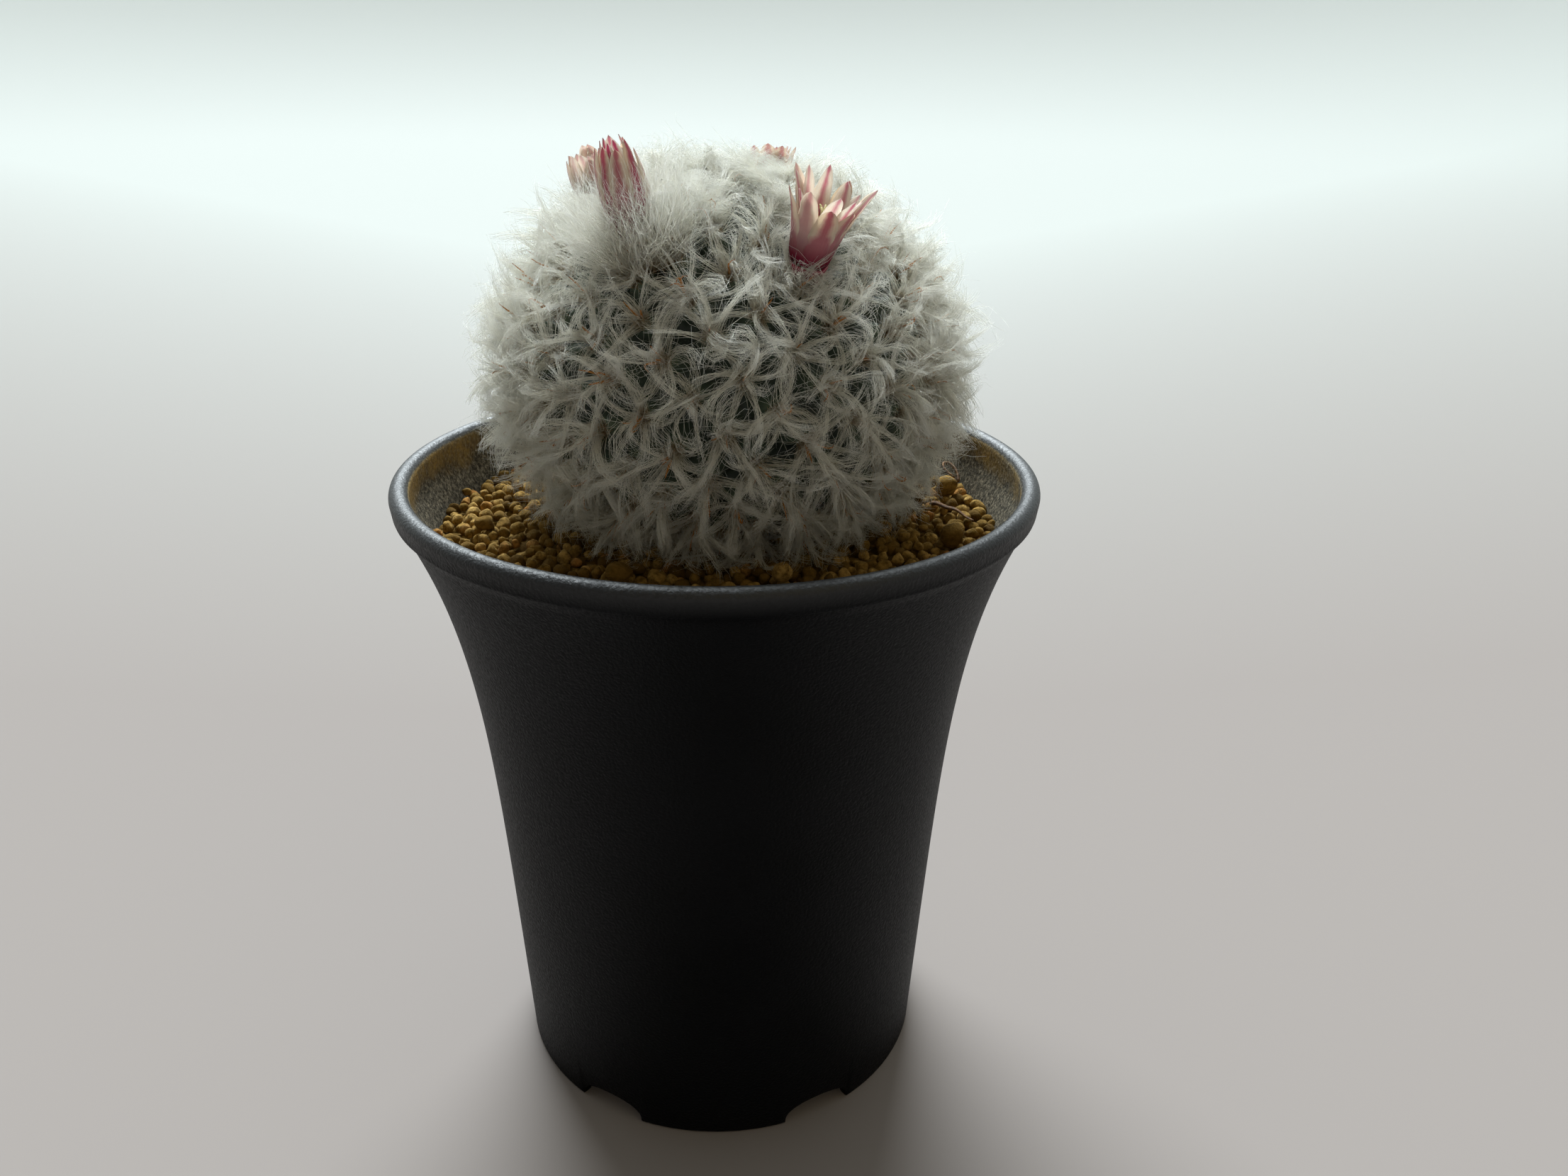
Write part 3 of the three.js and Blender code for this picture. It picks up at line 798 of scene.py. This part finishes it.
def coatShare(full, crown, bare, more):
    # how much grows at a tuft: the bare share where the coat is thin, and this much more at the crown
    return (bare + (1 - bare) * full) * (1 + more * crown)


def walked(aim):
    # the path of unit steps along these directions, from zero
    return np.concatenate([[np.zeros(3)], np.cumsum((aim[1:] + aim[:-1]) / 2, 0)])


def hairGuides(rng):
    # one for each wisp: where it starts, how it runs, how fluffy it is and how many hairs it has
    s = hairShape
    roots, runs, fluff, hairs = [], [], [], []
    t = np.linspace(0, 1, s["steps"])
    for tip, normal, crown, full in zip(tuftTips, tuftNormals, tuftCrown, tuftFull):
        down = unitVectors(np.array([0, 0, -1]) + normal * normal[2] + 1e-3 * rng.normal(size=3))
        side = np.cross(normal, down)
        start = rng.uniform(0, turn)
        swirl = rng.normal() * s["swirl"]
        for w in range(s["outerWisps"] + s["innerWisps"]):
            inner = w >= s["outerWisps"]
            ring = s["innerWisps"] if inner else s["outerWisps"]
            around = start + turn * (w + rng.uniform(-0.4, 0.4)) / ring
            lift = rng.uniform(*(s["innerLift"] if inner else s["outerLift"]))
            if not inner:
                lift += s["crownLift"] * crown
            lift = math.radians(lift)
            length = rng.uniform(*s["length"]) * (s["innerLength"] if inner else 1)
            length *= coatShare(full, crown, s["bareLength"], s["crownLength"])
            bend = math.radians(rng.uniform(*s["bend"]))
            swing = (rng.normal() + swirl) * s["curl"] * (1 + s["crownCurl"] * crown)
            flat = math.cos(around) * down + math.sin(around) * side
            across = np.cross(normal, flat)
            # the direction sinks from lift + bend to lift - bend, and turns sideways by the swing
            rise = lift + bend * (1 - 2 * t)
            yaw = swing * (1.2 * t ** 1.3 + 0.9 * t ** 4)
            aim = (np.cos(rise) * np.cos(yaw))[:, None] * flat
            aim = aim + (np.cos(rise) * np.sin(yaw))[:, None] * across
            aim = aim + np.sin(rise)[:, None] * normal
            # low on the globe the wisps hang
            sag = 0.5 * max(0, 0.45 - normal[2])
            aim = unitVectors(aim - np.array([0, 0, sag]) * (t ** 1.5)[:, None])
            roots.append(tip - normal * 0.5)
            runs.append(walked(aim) * length / (s["steps"] - 1))
            fluff.append(crown)
            dense = coatShare(full, crown, s["bareHairs"], s["crownHairs"])
            hairs.append(max(2, round(s["hairs"] * rng.uniform(0.6, 1.4) * dense)))
    return np.array(roots), np.array(runs), np.array(fluff), np.array(hairs)


def hairPaths(rng):
    # the paths, and how far each hair's wisp stands out compared with the others
    s = hairShape
    roots, runs, fluff, hairs = hairGuides(rng)
    pick = np.repeat(np.arange(len(hairs)), hairs)
    standing = 1 + s["wispNoise"] * rng.normal(size=len(hairs))[pick]
    total = len(pick)
    t = np.linspace(0, 1, s["steps"])[None, :, None]
    fluff = fluff[pick][:, None, None]
    paths = runs[pick] * rng.uniform(0.7, 1.12, (total, 1, 1))
    loose = (rng.random((total, 1, 1)) < s["flyaways"] + 0.3 * fluff).astype(float)
    spread = rng.normal(size=(total, 1, 3)) * s["rootSpread"]
    part = rng.normal(size=(total, 1, 3)) * (s["tipSpread"] + s["looseSpread"] * loose)
    # the hairs of a wisp draw together towards its point
    paths = paths + spread * (1 - s["clump"] * (1 - loose) * np.sin(t * math.pi / 2)) + part * t ** 1.8
    # a slow wave, different in every hair and stronger in the loose ones
    height = s["wave"] + s["looseWave"] * loose + s["crownWave"] * fluff
    for k in (1, 2):
        heading = unitVectors(rng.normal(size=(total, 1, 3)))
        rate = turn * k * rng.uniform(0.5, 1.3, (total, 1, 1))
        wave = np.sin(rate * t + rng.uniform(0, turn, (total, 1, 1)))
        paths = paths + heading * wave * t * height / k
    return roots[pick][:, None, :] + paths, standing


def curlyPaths(rng, roots, normals, lengths, outward):
    # short curly wool hairs from each root, mostly along its normal
    t = np.linspace(0, 1, hairShape["steps"])[None, :, None]
    heading = unitVectors(rng.normal(size=normals.shape) + outward * normals)[:, None, :]
    curl = unitVectors(rng.normal(size=normals.shape))[:, None, :]
    twist = rng.uniform(2.5, 5.5, (len(roots), 1, 1))
    run = heading * t * lengths[:, None, None]
    return roots[:, None, :] + run + curl * np.sin(twist * t) * t * lengths[:, None, None] * 0.28


def woolPaths(rng):
    # wool round the foot of each tuft, longer and denser at the crown
    s = hairShape
    dense = coatShare(tuftFull, tuftCrown, s["bareWool"], s["crownWool"])
    count = np.round(s["wool"] * dense).astype(int)
    pick = np.repeat(np.arange(len(count)), count)
    roots = tuftTips[pick] - 0.5 * tuftNormals[pick] + 0.35 * rng.normal(size=(len(pick), 3))
    lengths = rng.uniform(*s["woolLength"], len(pick)) * (1 + 0.7 * tuftCrown[pick])
    return curlyPaths(rng, roots, tuftNormals[pick], lengths, 1.3)


def nestPaths(rng):
    # wool that fills the axil each flower grows from, close round its tube
    s = hairShape
    nests = []
    for place, flower in flowerFrames.items():
        count = round(s["nest"] * bloomHabit[place]["nest"] ** 2)
        around = rng.uniform(0, turn, count)
        out = np.cos(around)[:, None] * flower["east"] + np.sin(around)[:, None] * flower["north"]
        roots = flower["foot"] + flower["axis"] * 2.0 + out * rng.uniform(*s["nestRing"], (count, 1))
        lengths = rng.uniform(*s["nestLength"], count) * bloomHabit[place]["nest"]
        nests.append(curlyPaths(rng, roots, unitVectors(1.4 * flower["axis"] + 0.5 * out), lengths, 2.6))
    return np.concatenate(nests)


def pressed(paths, standing, rng):
    # hairs press on one another, so their height above the tubercles levels off at the coat's depth
    s = hairShape
    out = paths - plantCentre
    far = np.linalg.norm(out, axis=-1)
    height = far * (1 - 1 / np.linalg.norm(out / plantSize, axis=-1))
    directions = out / far[..., None]
    reach = s["reach"] + (s["topReach"] - s["reach"]) * crownShare(directions)
    for azimuth, rise, spread, more in tufts:
        reach = reach + more * nearness(directions, azimuth, rise, spread)
    reach = reach * (standing + s["reachNoise"] * rng.normal(size=len(paths)))[:, None]
    reach = np.maximum(reach, 1.5)
    kept = height / (1 + (np.maximum(height, 0) / reach) ** 3) ** (1 / 3)
    return plantCentre + directions * (far - height + kept)[..., None]


def clearOf(paths):
    # hairs part around each flower, and lie on the soil instead of passing through it
    for flower in flowerFrames.values():
        offset = paths - flower["foot"]
        height = offset @ flower["axis"]
        flat = offset - height[..., None] * flower["axis"]
        away = np.linalg.norm(flat, axis=-1)
        levels = np.concatenate([[0, flower["low"] - 0.3], np.linspace(flower["low"], flower["high"], 5)])
        outline = np.interp(height, levels, np.concatenate([[1.2, 2.5], flower["radii"]])) + 0.15
        push = np.where((height > -1) & (height < flower["high"] + 1), np.maximum(outline - away, 0), 0)
        paths = paths + flat / np.maximum(away, 0.05)[..., None] * push[..., None]
    ground = soilHeight(np.hypot(paths[..., 0], paths[..., 1])) + 0.3
    under = np.maximum(ground - paths[..., 2], 0)
    paths[..., 2] = paths[..., 2] + 1.15 * under
    return paths


def tubeMesh(paths, thickness, taper, tint=0.0, shades=0):
    # three-sided tapered tubes along every path, closed at both ends. With shades, a map lays each tube in
    # the strip of its shade, root at the bottom
    total, steps, _ = paths.shape
    thickness, tint = np.broadcast_to(thickness, total), np.broadcast_to(tint, total)
    t = np.linspace(0, 1, steps)
    along = unitVectors(np.gradient(paths, axis=1))
    chord = unitVectors(paths[:, -1] - paths[:, 0])
    helper = np.where(np.abs(chord[:, 2:3]) < 0.8, [[0, 0, 1.0]], [[1.0, 0, 0]])
    first = unitVectors(np.cross(chord, helper))[:, None, :]
    first = unitVectors(first - along * np.sum(first * along, -1, keepdims=True))
    second = np.cross(along, first)
    radius = (thickness / 2)[:, None] * (1 - (1 - taper) * t ** 1.5)[None, :]
    rings = [paths + radius[..., None] * (math.cos(a) * first + math.sin(a) * second)
             for a in (0, turn / 3, 2 * turn / 3)]
    points = np.stack(rings, 2).reshape(-1, 3)
    quads = gridFaces(steps, 3, closed=True)
    caps = np.array([[0, 2, 1], [steps * 3 - 3, steps * 3 - 2, steps * 3 - 1]])
    shift = (np.arange(total) * steps * 3)[:, None, None]
    layers = {"along": np.tile(np.repeat(t, 3), total), "tint": np.repeat(tint, steps * 3)}
    faces = [(quads[None] + shift).reshape(-1, 4), (caps[None] + shift).reshape(-1, 3)]
    mesh = newMesh(points * mm, faces, layers)
    if shades:
        i, j = np.divmod(np.arange(3 * (steps - 1)), 3)
        strip = (np.floor(tint * shades).clip(0, shades - 1))[:, None]
        corner = np.stack([j, j + 1, j + 1, j], -1).reshape(1, -1) / 3
        u = (strip + 0.15 + 0.7 * corner) / shades
        v = np.broadcast_to(t[np.stack([i, i, i + 1, i + 1], -1)].reshape(1, -1), u.shape)
        capU = (strip + np.tile([0.2, 0.8, 0.5], 2)[None]) / shades
        capV = np.broadcast_to([[0, 0, 0.02, 0.98, 0.98, 1.0]], capU.shape)
        laid = [np.stack([u, v], -1).reshape(-1, 2), np.stack([capU, capV], -1).reshape(-1, 2)]
        layer = mesh.uv_layers.new(name="OFBake")
        layer.data.foreach_set("uv", np.concatenate(laid).astype(np.float32).ravel())
    return mesh


def silkyHair():
    # hair-like cactus spines: thin, silky, nearly colourless fibres that look white in a mass, beige at the
    # root, and glow where the light comes from behind
    material, tree = newMaterial("silkyWhiteSpine")
    fibre = ramp(tree, attribute(tree, "along"), (0.0, "#b98a52"), (0.08, "#dcc6a2"), (0.24, "#f6f4ea"),
                 (1.0, "#fcfcf7"))
    age = remap(tree, attribute(tree, "tint"), 0.55, 1.0, 0.0, 0.5)
    surface(tree, {"Base Color": mixed(tree, age, fibre, "#dcd6c2"), "Roughness": 0.5, "IOR": 1.35,
                   "Transmission Weight": 0.65}, glow=0.2)
    return material


def addHair():
    s = hairShape
    rng = np.random.default_rng(s["seed"])
    hair, standing = hairPaths(rng)
    wool = woolPaths(rng)
    coat = pressed(np.concatenate([hair, wool]), np.concatenate([standing, np.ones(len(wool))]), rng)
    paths = clearOf(np.concatenate([coat, nestPaths(rng)]))
    total = len(paths)
    tint = rng.random(total)
    thickness = s["thickness"] * rng.uniform(0.75, 1.15, total)
    material = silkyHair()
    # shared out in level belts of the coat
    belt = np.argsort(np.argsort(paths[:, 0, 2], kind="stable"), kind="stable") * s["pieces"] // total
    for k in range(s["pieces"]):
        pick = belt == k
        mesh = tubeMesh(paths[pick], thickness[pick], 0.3, tint[pick], s["shades"])
        addPiece(f"hair_spines_{k + 1}", mesh, material, ["spine_coat"])
    return total


print("stage 6: hair spines,", addHair())


centralShape = {
    "seed": 8, "length": (3.6, 5.6), "thickness": 0.44, "steps": 9, "share": 0.9, "lean": 0.2,
    "hook": 2.3, "hooked": 0.6, "hookStart": 0.72,
}


def centralPaths(rng):
    # up to three stout spines stand out of each tuft, most of them hooked at the tip
    s = centralShape
    paths = []
    t = np.linspace(0, 1, s["steps"])
    for tip, normal in zip(tuftTips, tuftNormals):
        if tip[2] < soilTop + 1.5:
            continue
        for _ in range(rng.integers(1, 4)):
            if rng.random() > s["share"]:
                continue
            lean = unitVectors(normal + s["lean"] * rng.normal(size=3))
            across = unitVectors(np.cross(lean, rng.normal(size=3)))
            hook = s["hook"] * (rng.random() < s["hooked"]) + 0.2
            swing = hook * np.maximum(t - s["hookStart"], 0) / (1 - s["hookStart"])
            aim = np.cos(swing)[:, None] * lean + np.sin(swing)[:, None] * across
            paths.append(tip - normal * 0.4 + walked(aim) * rng.uniform(*s["length"]) / (s["steps"] - 1))
    return clearOf(np.array(paths))


def hornySpine():
    # horny central spine: hard and slightly glossy, amber, darker and redder at the point
    material, tree = newMaterial("hornyAmberSpine")
    colour = ramp(tree, attribute(tree, "along"), (0.0, "#dda55c"), (0.5, "#d69648"), (1.0, "#b5773a"))
    surface(tree, {"Base Color": colour, "Roughness": 0.35, "IOR": 1.54}, glow=0.3)
    return material


def addCentralSpines():
    rng = np.random.default_rng(centralShape["seed"])
    paths = centralPaths(rng)
    thickness = centralShape["thickness"] * rng.uniform(0.8, 1.2, len(paths))
    mesh = tubeMesh(paths, thickness, 0.2, rng.random(len(paths)))
    addPiece("central_spines", mesh, hornySpine(), ["spine_coat"])
    return len(paths)


print("stage 7: central spines,", addCentralSpines())


bloomShape = {
    "rows": 22, "columns": 9, "thickness": 0.2, "outerWidth": 1.5, "innerWidth": 1.3, "innerCount": 10,
    "keel": 0.3, "crimp": 0.06, "cupDepth": 1.3,
    "stamens": 34, "stamenHeight": 0.5, "filament": 0.13, "anther": 0.3,
    "styleHeight": 0.62, "style": 0.5, "lobe": 0.36, "lobes": 5,
}


def outlineAt(flower, t):
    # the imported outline, smoothed through its five levels
    return np.polyval(np.polyfit(np.linspace(0, 1, 5), flower["radii"], 3), t)


def toWorld(flower, r, angle, z):
    return (flower["foot"] + (r * np.cos(angle))[..., None] * flower["east"]
            + (r * np.sin(angle))[..., None] * flower["north"] + z[..., None] * flower["axis"])


def bladeMesh(flower, blades, rng):
    # closed leaf-shaped blades round the flower's axis, each rolled about its midrib
    s = bloomShape
    rows, columns = s["rows"], s["columns"]
    count = rows * columns
    t = np.linspace(0, 1, rows)[:, None]
    c = np.linspace(-1, 1, columns)[None, :]
    # outline of a blade: a broad foot, nearly parallel sides, drawn out to a point
    width = (0.95 + 0.15 * np.sin(np.pi * np.minimum(t * 1.4, 1))) * (1 - t ** 5.5) ** 0.75
    grid = gridFaces(rows, columns)
    edge = np.concatenate([np.arange(columns), np.arange(1, rows) * columns + columns - 1,
                           count - 2 - np.arange(columns - 1), (rows - 2 - np.arange(rows - 2)) * columns])
    following = np.roll(edge, -1)
    rim = np.stack([following, edge, edge + count, following + count], -1)
    points, faces = [], []
    layers = {"along": [], "across": [], "tint": []}
    for n, blade in enumerate(blades):
        r = outlineAt(flower, t * blade["length"]) - blade["inset"]
        flare = blade["flare"] * t ** 3
        bow = rng.normal() * 0.25 * np.sin(np.pi * t) + rng.normal() * 0.35 * t ** 2
        half = blade["width"] * width
        angle = blade["angle"] + (half * c + bow) / np.maximum(r, 1.0) + blade["twist"] * t
        keel = s["keel"] * half * (c ** 2 - 0.4) * (1 - 0.4 * t)
        crimp = s["crimp"] * np.sin(9 * t * np.pi + rng.uniform(0, turn)) * np.abs(c)
        radius = r + flare - keel * 0.9 + crimp
        reach = (flower["high"] - flower["low"]) * blade["length"]
        height = flower["low"] + reach * t - 0.25 * np.abs(flare) + 0 * c
        thick = s["thickness"] * (1 - 0.75 * np.abs(c) ** 3) * (1 - 0.55 * t)
        front = toWorld(flower, radius, angle, height).reshape(-1, 3)
        back = toWorld(flower, radius - thick, angle, height).reshape(-1, 3)
        points.append(np.concatenate([front, back]))
        faces.append(np.concatenate([grid, grid[:, ::-1] + count, rim]) + n * 2 * count)
        marks = {"along": t + 0 * c, "across": np.abs(c) + 0 * t, "tint": blade["tint"] + 0 * t * c}
        for key, values in marks.items():
            layers[key].append(np.tile(values.ravel(), 2))
    layers = {key: np.concatenate(values) for key, values in layers.items()}
    return newMesh(np.concatenate(points) * mm, np.concatenate(faces), layers)


def petalTissue(name, stripe, margin, foot, stripeWidth):
    # petal tissue: thin, satin and slightly see-through, with fine lengthwise veins; a coloured stripe runs
    # up the middle, narrowing from the foot, where it takes in the whole blade, and flushing the very tip
    material, tree = newMaterial(name)
    along, across, tint = [attribute(tree, key) for key in ("along", "across", "tint")]
    ragged = remap(tree, noise(tree, 1.2, 3.0), 0.0, 1.0, -0.3, 0.3)
    narrowing = remap(tree, along, 0.1, 0.58, 1.25, stripeWidth)
    reddened = combined(tree, "ADD", narrowing, remap(tree, along, 0.88, 1.0, 0.0, 0.35))
    beyond = combined(tree, "SUBTRACT", combined(tree, "ADD", across, ragged), reddened)
    mask = remap(tree, beyond, -0.1, 0.35, 1.0, 0.0)
    mask = combined(tree, "MULTIPLY", mask, remap(tree, tint, 0.0, 1.0, 0.12, 1.0))
    margin = mixed(tree, tint, "#f7eee4", margin)
    flush = remap(tree, along, 0.08, 0.42, 1.0, 0.0)
    colour = mixed(tree, flush, mixed(tree, mask, margin, stripe), foot)
    veins = combined(tree, "SINE", combined(tree, "MULTIPLY", across, 26.0), 0.0)
    surface(tree, {"Base Color": colour, "Roughness": 0.42, "Normal": relief(tree, veins, 0.03, 0.6),
                   "IOR": 1.42}, glow=0.5)
    return material


def tubeSkin():
    # floral tube: fleshy and smooth, dull green at the ovary and crimson above it, a little blotched
    material, tree = newMaterial("fleshyFloralTube")
    blotch = remap(tree, noise(tree, 1.2), 0.0, 1.0, -0.15, 0.15)
    level = combined(tree, "ADD", attribute(tree, "along"), blotch)
    colour = ramp(tree, level, (0.3, "#3d4433"), (0.6, "#6e3638"), (0.85, "#8a1f39"))
    surface(tree, {"Base Color": colour, "Roughness": 0.4, "IOR": 1.42})
    return material


def pollenTissue(name, stalk, head):
    # pollen-dusted tissue: matte and powdery
    material, tree = newMaterial(name)
    colour = ramp(tree, attribute(tree, "along"), (0.0, stalk), (0.75, stalk), (0.9, head))
    surface(tree, {"Base Color": colour, "Roughness": 0.7})
    return material


def floralTubeMesh(flower):
    # ovary and tube, faintly ribbed, with an open cup that holds the stamens
    long = flower["tube"]
    outer = [(0.0, 0.0), (0.75, 0.02), (1.05, 0.35)]
    outer += [(1.1 + 1.4 * t ** 0.8, 0.4 + (long - 0.5) * t) for t in np.linspace(0, 1, 14)[1:]]
    inner = [(2.35, long), (2.1, long - 0.1)]
    inner += [(1.9 - 0.5 * t, long - 0.2 - 1.4 * t) for t in np.linspace(0, 1, 6)]
    profile = np.array(outer + inner + [(0.6, long - 1.65), (0.0, long - 1.65)])
    angles = ringAngles(48)
    r, z = profile.T[:, :, None]
    ribs = 1 + 0.035 * np.cos(8 * angles) * np.clip(z / long, 0, 1)
    points = toWorld(flower, r * ribs, angles + 0 * r, z + 0 * angles).reshape(-1, 3)
    layers = {"along": ((z + 0 * angles) / long).ravel()}
    return welded(newMesh(points * mm, gridFaces(len(profile), len(angles), closed=True), layers))


def joined(mesh, points, faces):
    # the mesh with more loose solids added; their "along" is 1
    extra = newMesh(points, faces, {"along": np.ones(len(points))})
    both = bmesh.new()
    both.from_mesh(mesh)
    both.from_mesh(extra)
    both.to_mesh(mesh)
    both.free()
    bpy.data.meshes.remove(extra)
    return mesh


def stamenMesh(flower, rng):
    # filaments fanning out of the cup, each with an anther
    s = bloomShape
    ball, quads = roundedCube(2)
    paths = []
    t = np.linspace(0, 1, 8)
    low = flower["tube"] - s["cupDepth"]
    top = flower["low"] + s["stamenHeight"] * (flower["high"] - flower["low"])
    for n in range(s["stamens"]):
        share = math.sqrt((n + 0.5) / s["stamens"])
        start = 0.55 + 0.5 * share
        end = min(0.75 + 0.95 * share, outlineAt(flower, 0.6) - 0.9)
        high = top - 1.8 * share * rng.random() - 0.2
        angle = n * goldenAngle + 0.25 * t * rng.normal()
        paths.append(toWorld(flower, start + (end - start) * t ** 1.4, angle, low + (high - low) * t))
    paths = np.array(paths)
    mesh = tubeMesh(paths, s["filament"], 0.7)
    heads = (ball * [1, 0.6, 0.75] * s["anther"])[None] + paths[:, -1:, :]
    shift = (np.arange(len(paths)) * len(ball))[:, None, None]
    return joined(mesh, heads.reshape(-1, 3) * mm, (quads[None] + shift).reshape(-1, 4))


def styleMesh(flower):
    # style with a stigma of narrow lobes
    s = bloomShape
    low = flower["tube"] - s["cupDepth"]
    high = flower["low"] + s["styleHeight"] * (flower["high"] - flower["low"])
    t = np.linspace(0, 1, 12)
    paths = [toWorld(flower, 0 * t, 0 * t, low + (high - 0.7 - low) * t)]
    for n in range(s["lobes"]):
        angle = np.full(12, n * turn / s["lobes"])
        paths.append(toWorld(flower, 0.08 + 0.62 * t ** 1.2, angle, high - 0.85 + 0.95 * np.sin(t * 1.7)))
    return tubeMesh(np.array(paths), np.array([s["style"]] + [s["lobe"]] * s["lobes"]), 0.75)


def addFlower(place, materials):
    flower = flowerFrames[place]
    habit = bloomHabit[place]
    rng = np.random.default_rng(habit["seed"])
    s = bloomShape
    name = f"flower_{place}"

    def blade(angle, length, inset, width, flare):
        return {"angle": angle, "length": length * (1 - habit["uneven"] * abs(rng.normal())), "inset": inset,
                "width": width * rng.uniform(0.85, 1.12), "flare": habit["tipFlare"] * flare,
                "twist": habit["twist"], "tint": rng.uniform(*habit["red"])}

    def addPart(part, slot, node, mesh):
        addPiece(f"{name}_{part}", mesh, materials[slot], [f"{name}_{node}"])

    addPart("floral_tube", "floral_tube", "tube", floralTubeMesh(flower))
    for k in range(outerTepals):
        inset = 0.12 + 0.25 * (k % 2)
        leaf = blade(k * turn / outerTepals, 1, inset, s["outerWidth"], rng.uniform(0.4, 1.2))
        addPart(f"outer_tepal_{k + 1}", "outer_tepals", f"tepal_{k + 1}", bladeMesh(flower, [leaf], rng))
    leaves = []
    for k in range(s["innerCount"]):
        angle = (k + 0.4) * turn / s["innerCount"] + 0.1 * rng.normal()
        inset = 0.75 + 0.3 * (k % 2)
        leaves.append(blade(angle, habit["innerLength"], inset, s["innerWidth"], rng.uniform(0.2, 0.9)))
    addPart("inner_tepals", "inner_tepals", "corolla", bladeMesh(flower, leaves, rng))
    addPart("stamen_brush", "stamens", "stamens", stamenMesh(flower, rng))
    addPart("pistil", "stigma", "style", styleMesh(flower))


def addFlowers():
    materials = {
        "floral_tube": tubeSkin(),
        "outer_tepals": petalTissue("outerTepalTissue", "#be456c", "#e3d4bb", "#8f1e3e", 0.24),
        "inner_tepals": petalTissue("innerTepalTissue", "#cd6086", "#efeade", "#b8506c", 0.12),
        "stamens": pollenTissue("pollenDustedStamen", "#efe7c2", "#ead9a0"),
        "stigma": pollenTissue("velvetyStigma", "#e9e2b4", "#c9cf8c"),
    }
    for place in flowerPlaces:
        addFlower(place, materials)


addFlowers()
print("stage 8: flowers")


def dryWood():
    # dry plant litter: weathered brown, fibrous along its length and dull
    material, tree = newMaterial("dryPlantFibre")
    streak = noise(tree, 0.5, 5.0)
    colour = ramp(tree, streak, (0.35, "#3f2812"), (0.55, "#6b4823"), (0.75, "#93703f"))
    surface(tree, {"Base Color": colour, "Roughness": 0.85, "Normal": relief(tree, streak, 0.1)})
    return material


litterShape = {"splinter": 0.85, "deadRoot": 0.6, "coils": 1.15}  # thicknesses in millimetres, and turns


def addLitter():
    material = dryWood()
    t = np.linspace(0, 1, 24)
    # a splinter from one corner of its box to the other, lying on the grains
    low, high = boxOf("dry_sliver")
    x = low[0] + 0.3 + (high[0] - low[0] - 0.6) * t
    y = high[1] - 0.3 - (high[1] - low[1] - 0.6) * t + 0.35 * np.sin(np.pi * t)
    z = low[2] + 0.5 + 0.35 * np.sin(np.pi * t) + 0.12 * np.sin(13 * t)
    mesh = tubeMesh(np.stack([x, y, z], -1)[None], litterShape["splinter"], 0.35)
    addPiece("splinter", mesh, material, ["dry_sliver"])
    # a bit of dead root, curled round on itself
    low, high = boxOf("root_fibre")
    middle, half = (low + high) / 2, (high - low) / 2 - 0.35
    bend = -0.6 + litterShape["coils"] * turn * t
    x = middle[0] + half[0] * np.cos(bend) * (1 - 0.25 * t)
    y = middle[1] + half[1] * np.sin(bend) * (1 - 0.25 * t)
    z = low[2] + 0.35 + (high[2] - low[2] - 0.7) * np.sin(np.pi * t ** 0.8) ** 1.5
    mesh = tubeMesh(np.stack([x, y, z], -1)[None], litterShape["deadRoot"], 0.4)
    addPiece("dead_root", mesh, material, ["root_fibre"])


addLitter()
print("stage 9: litter")
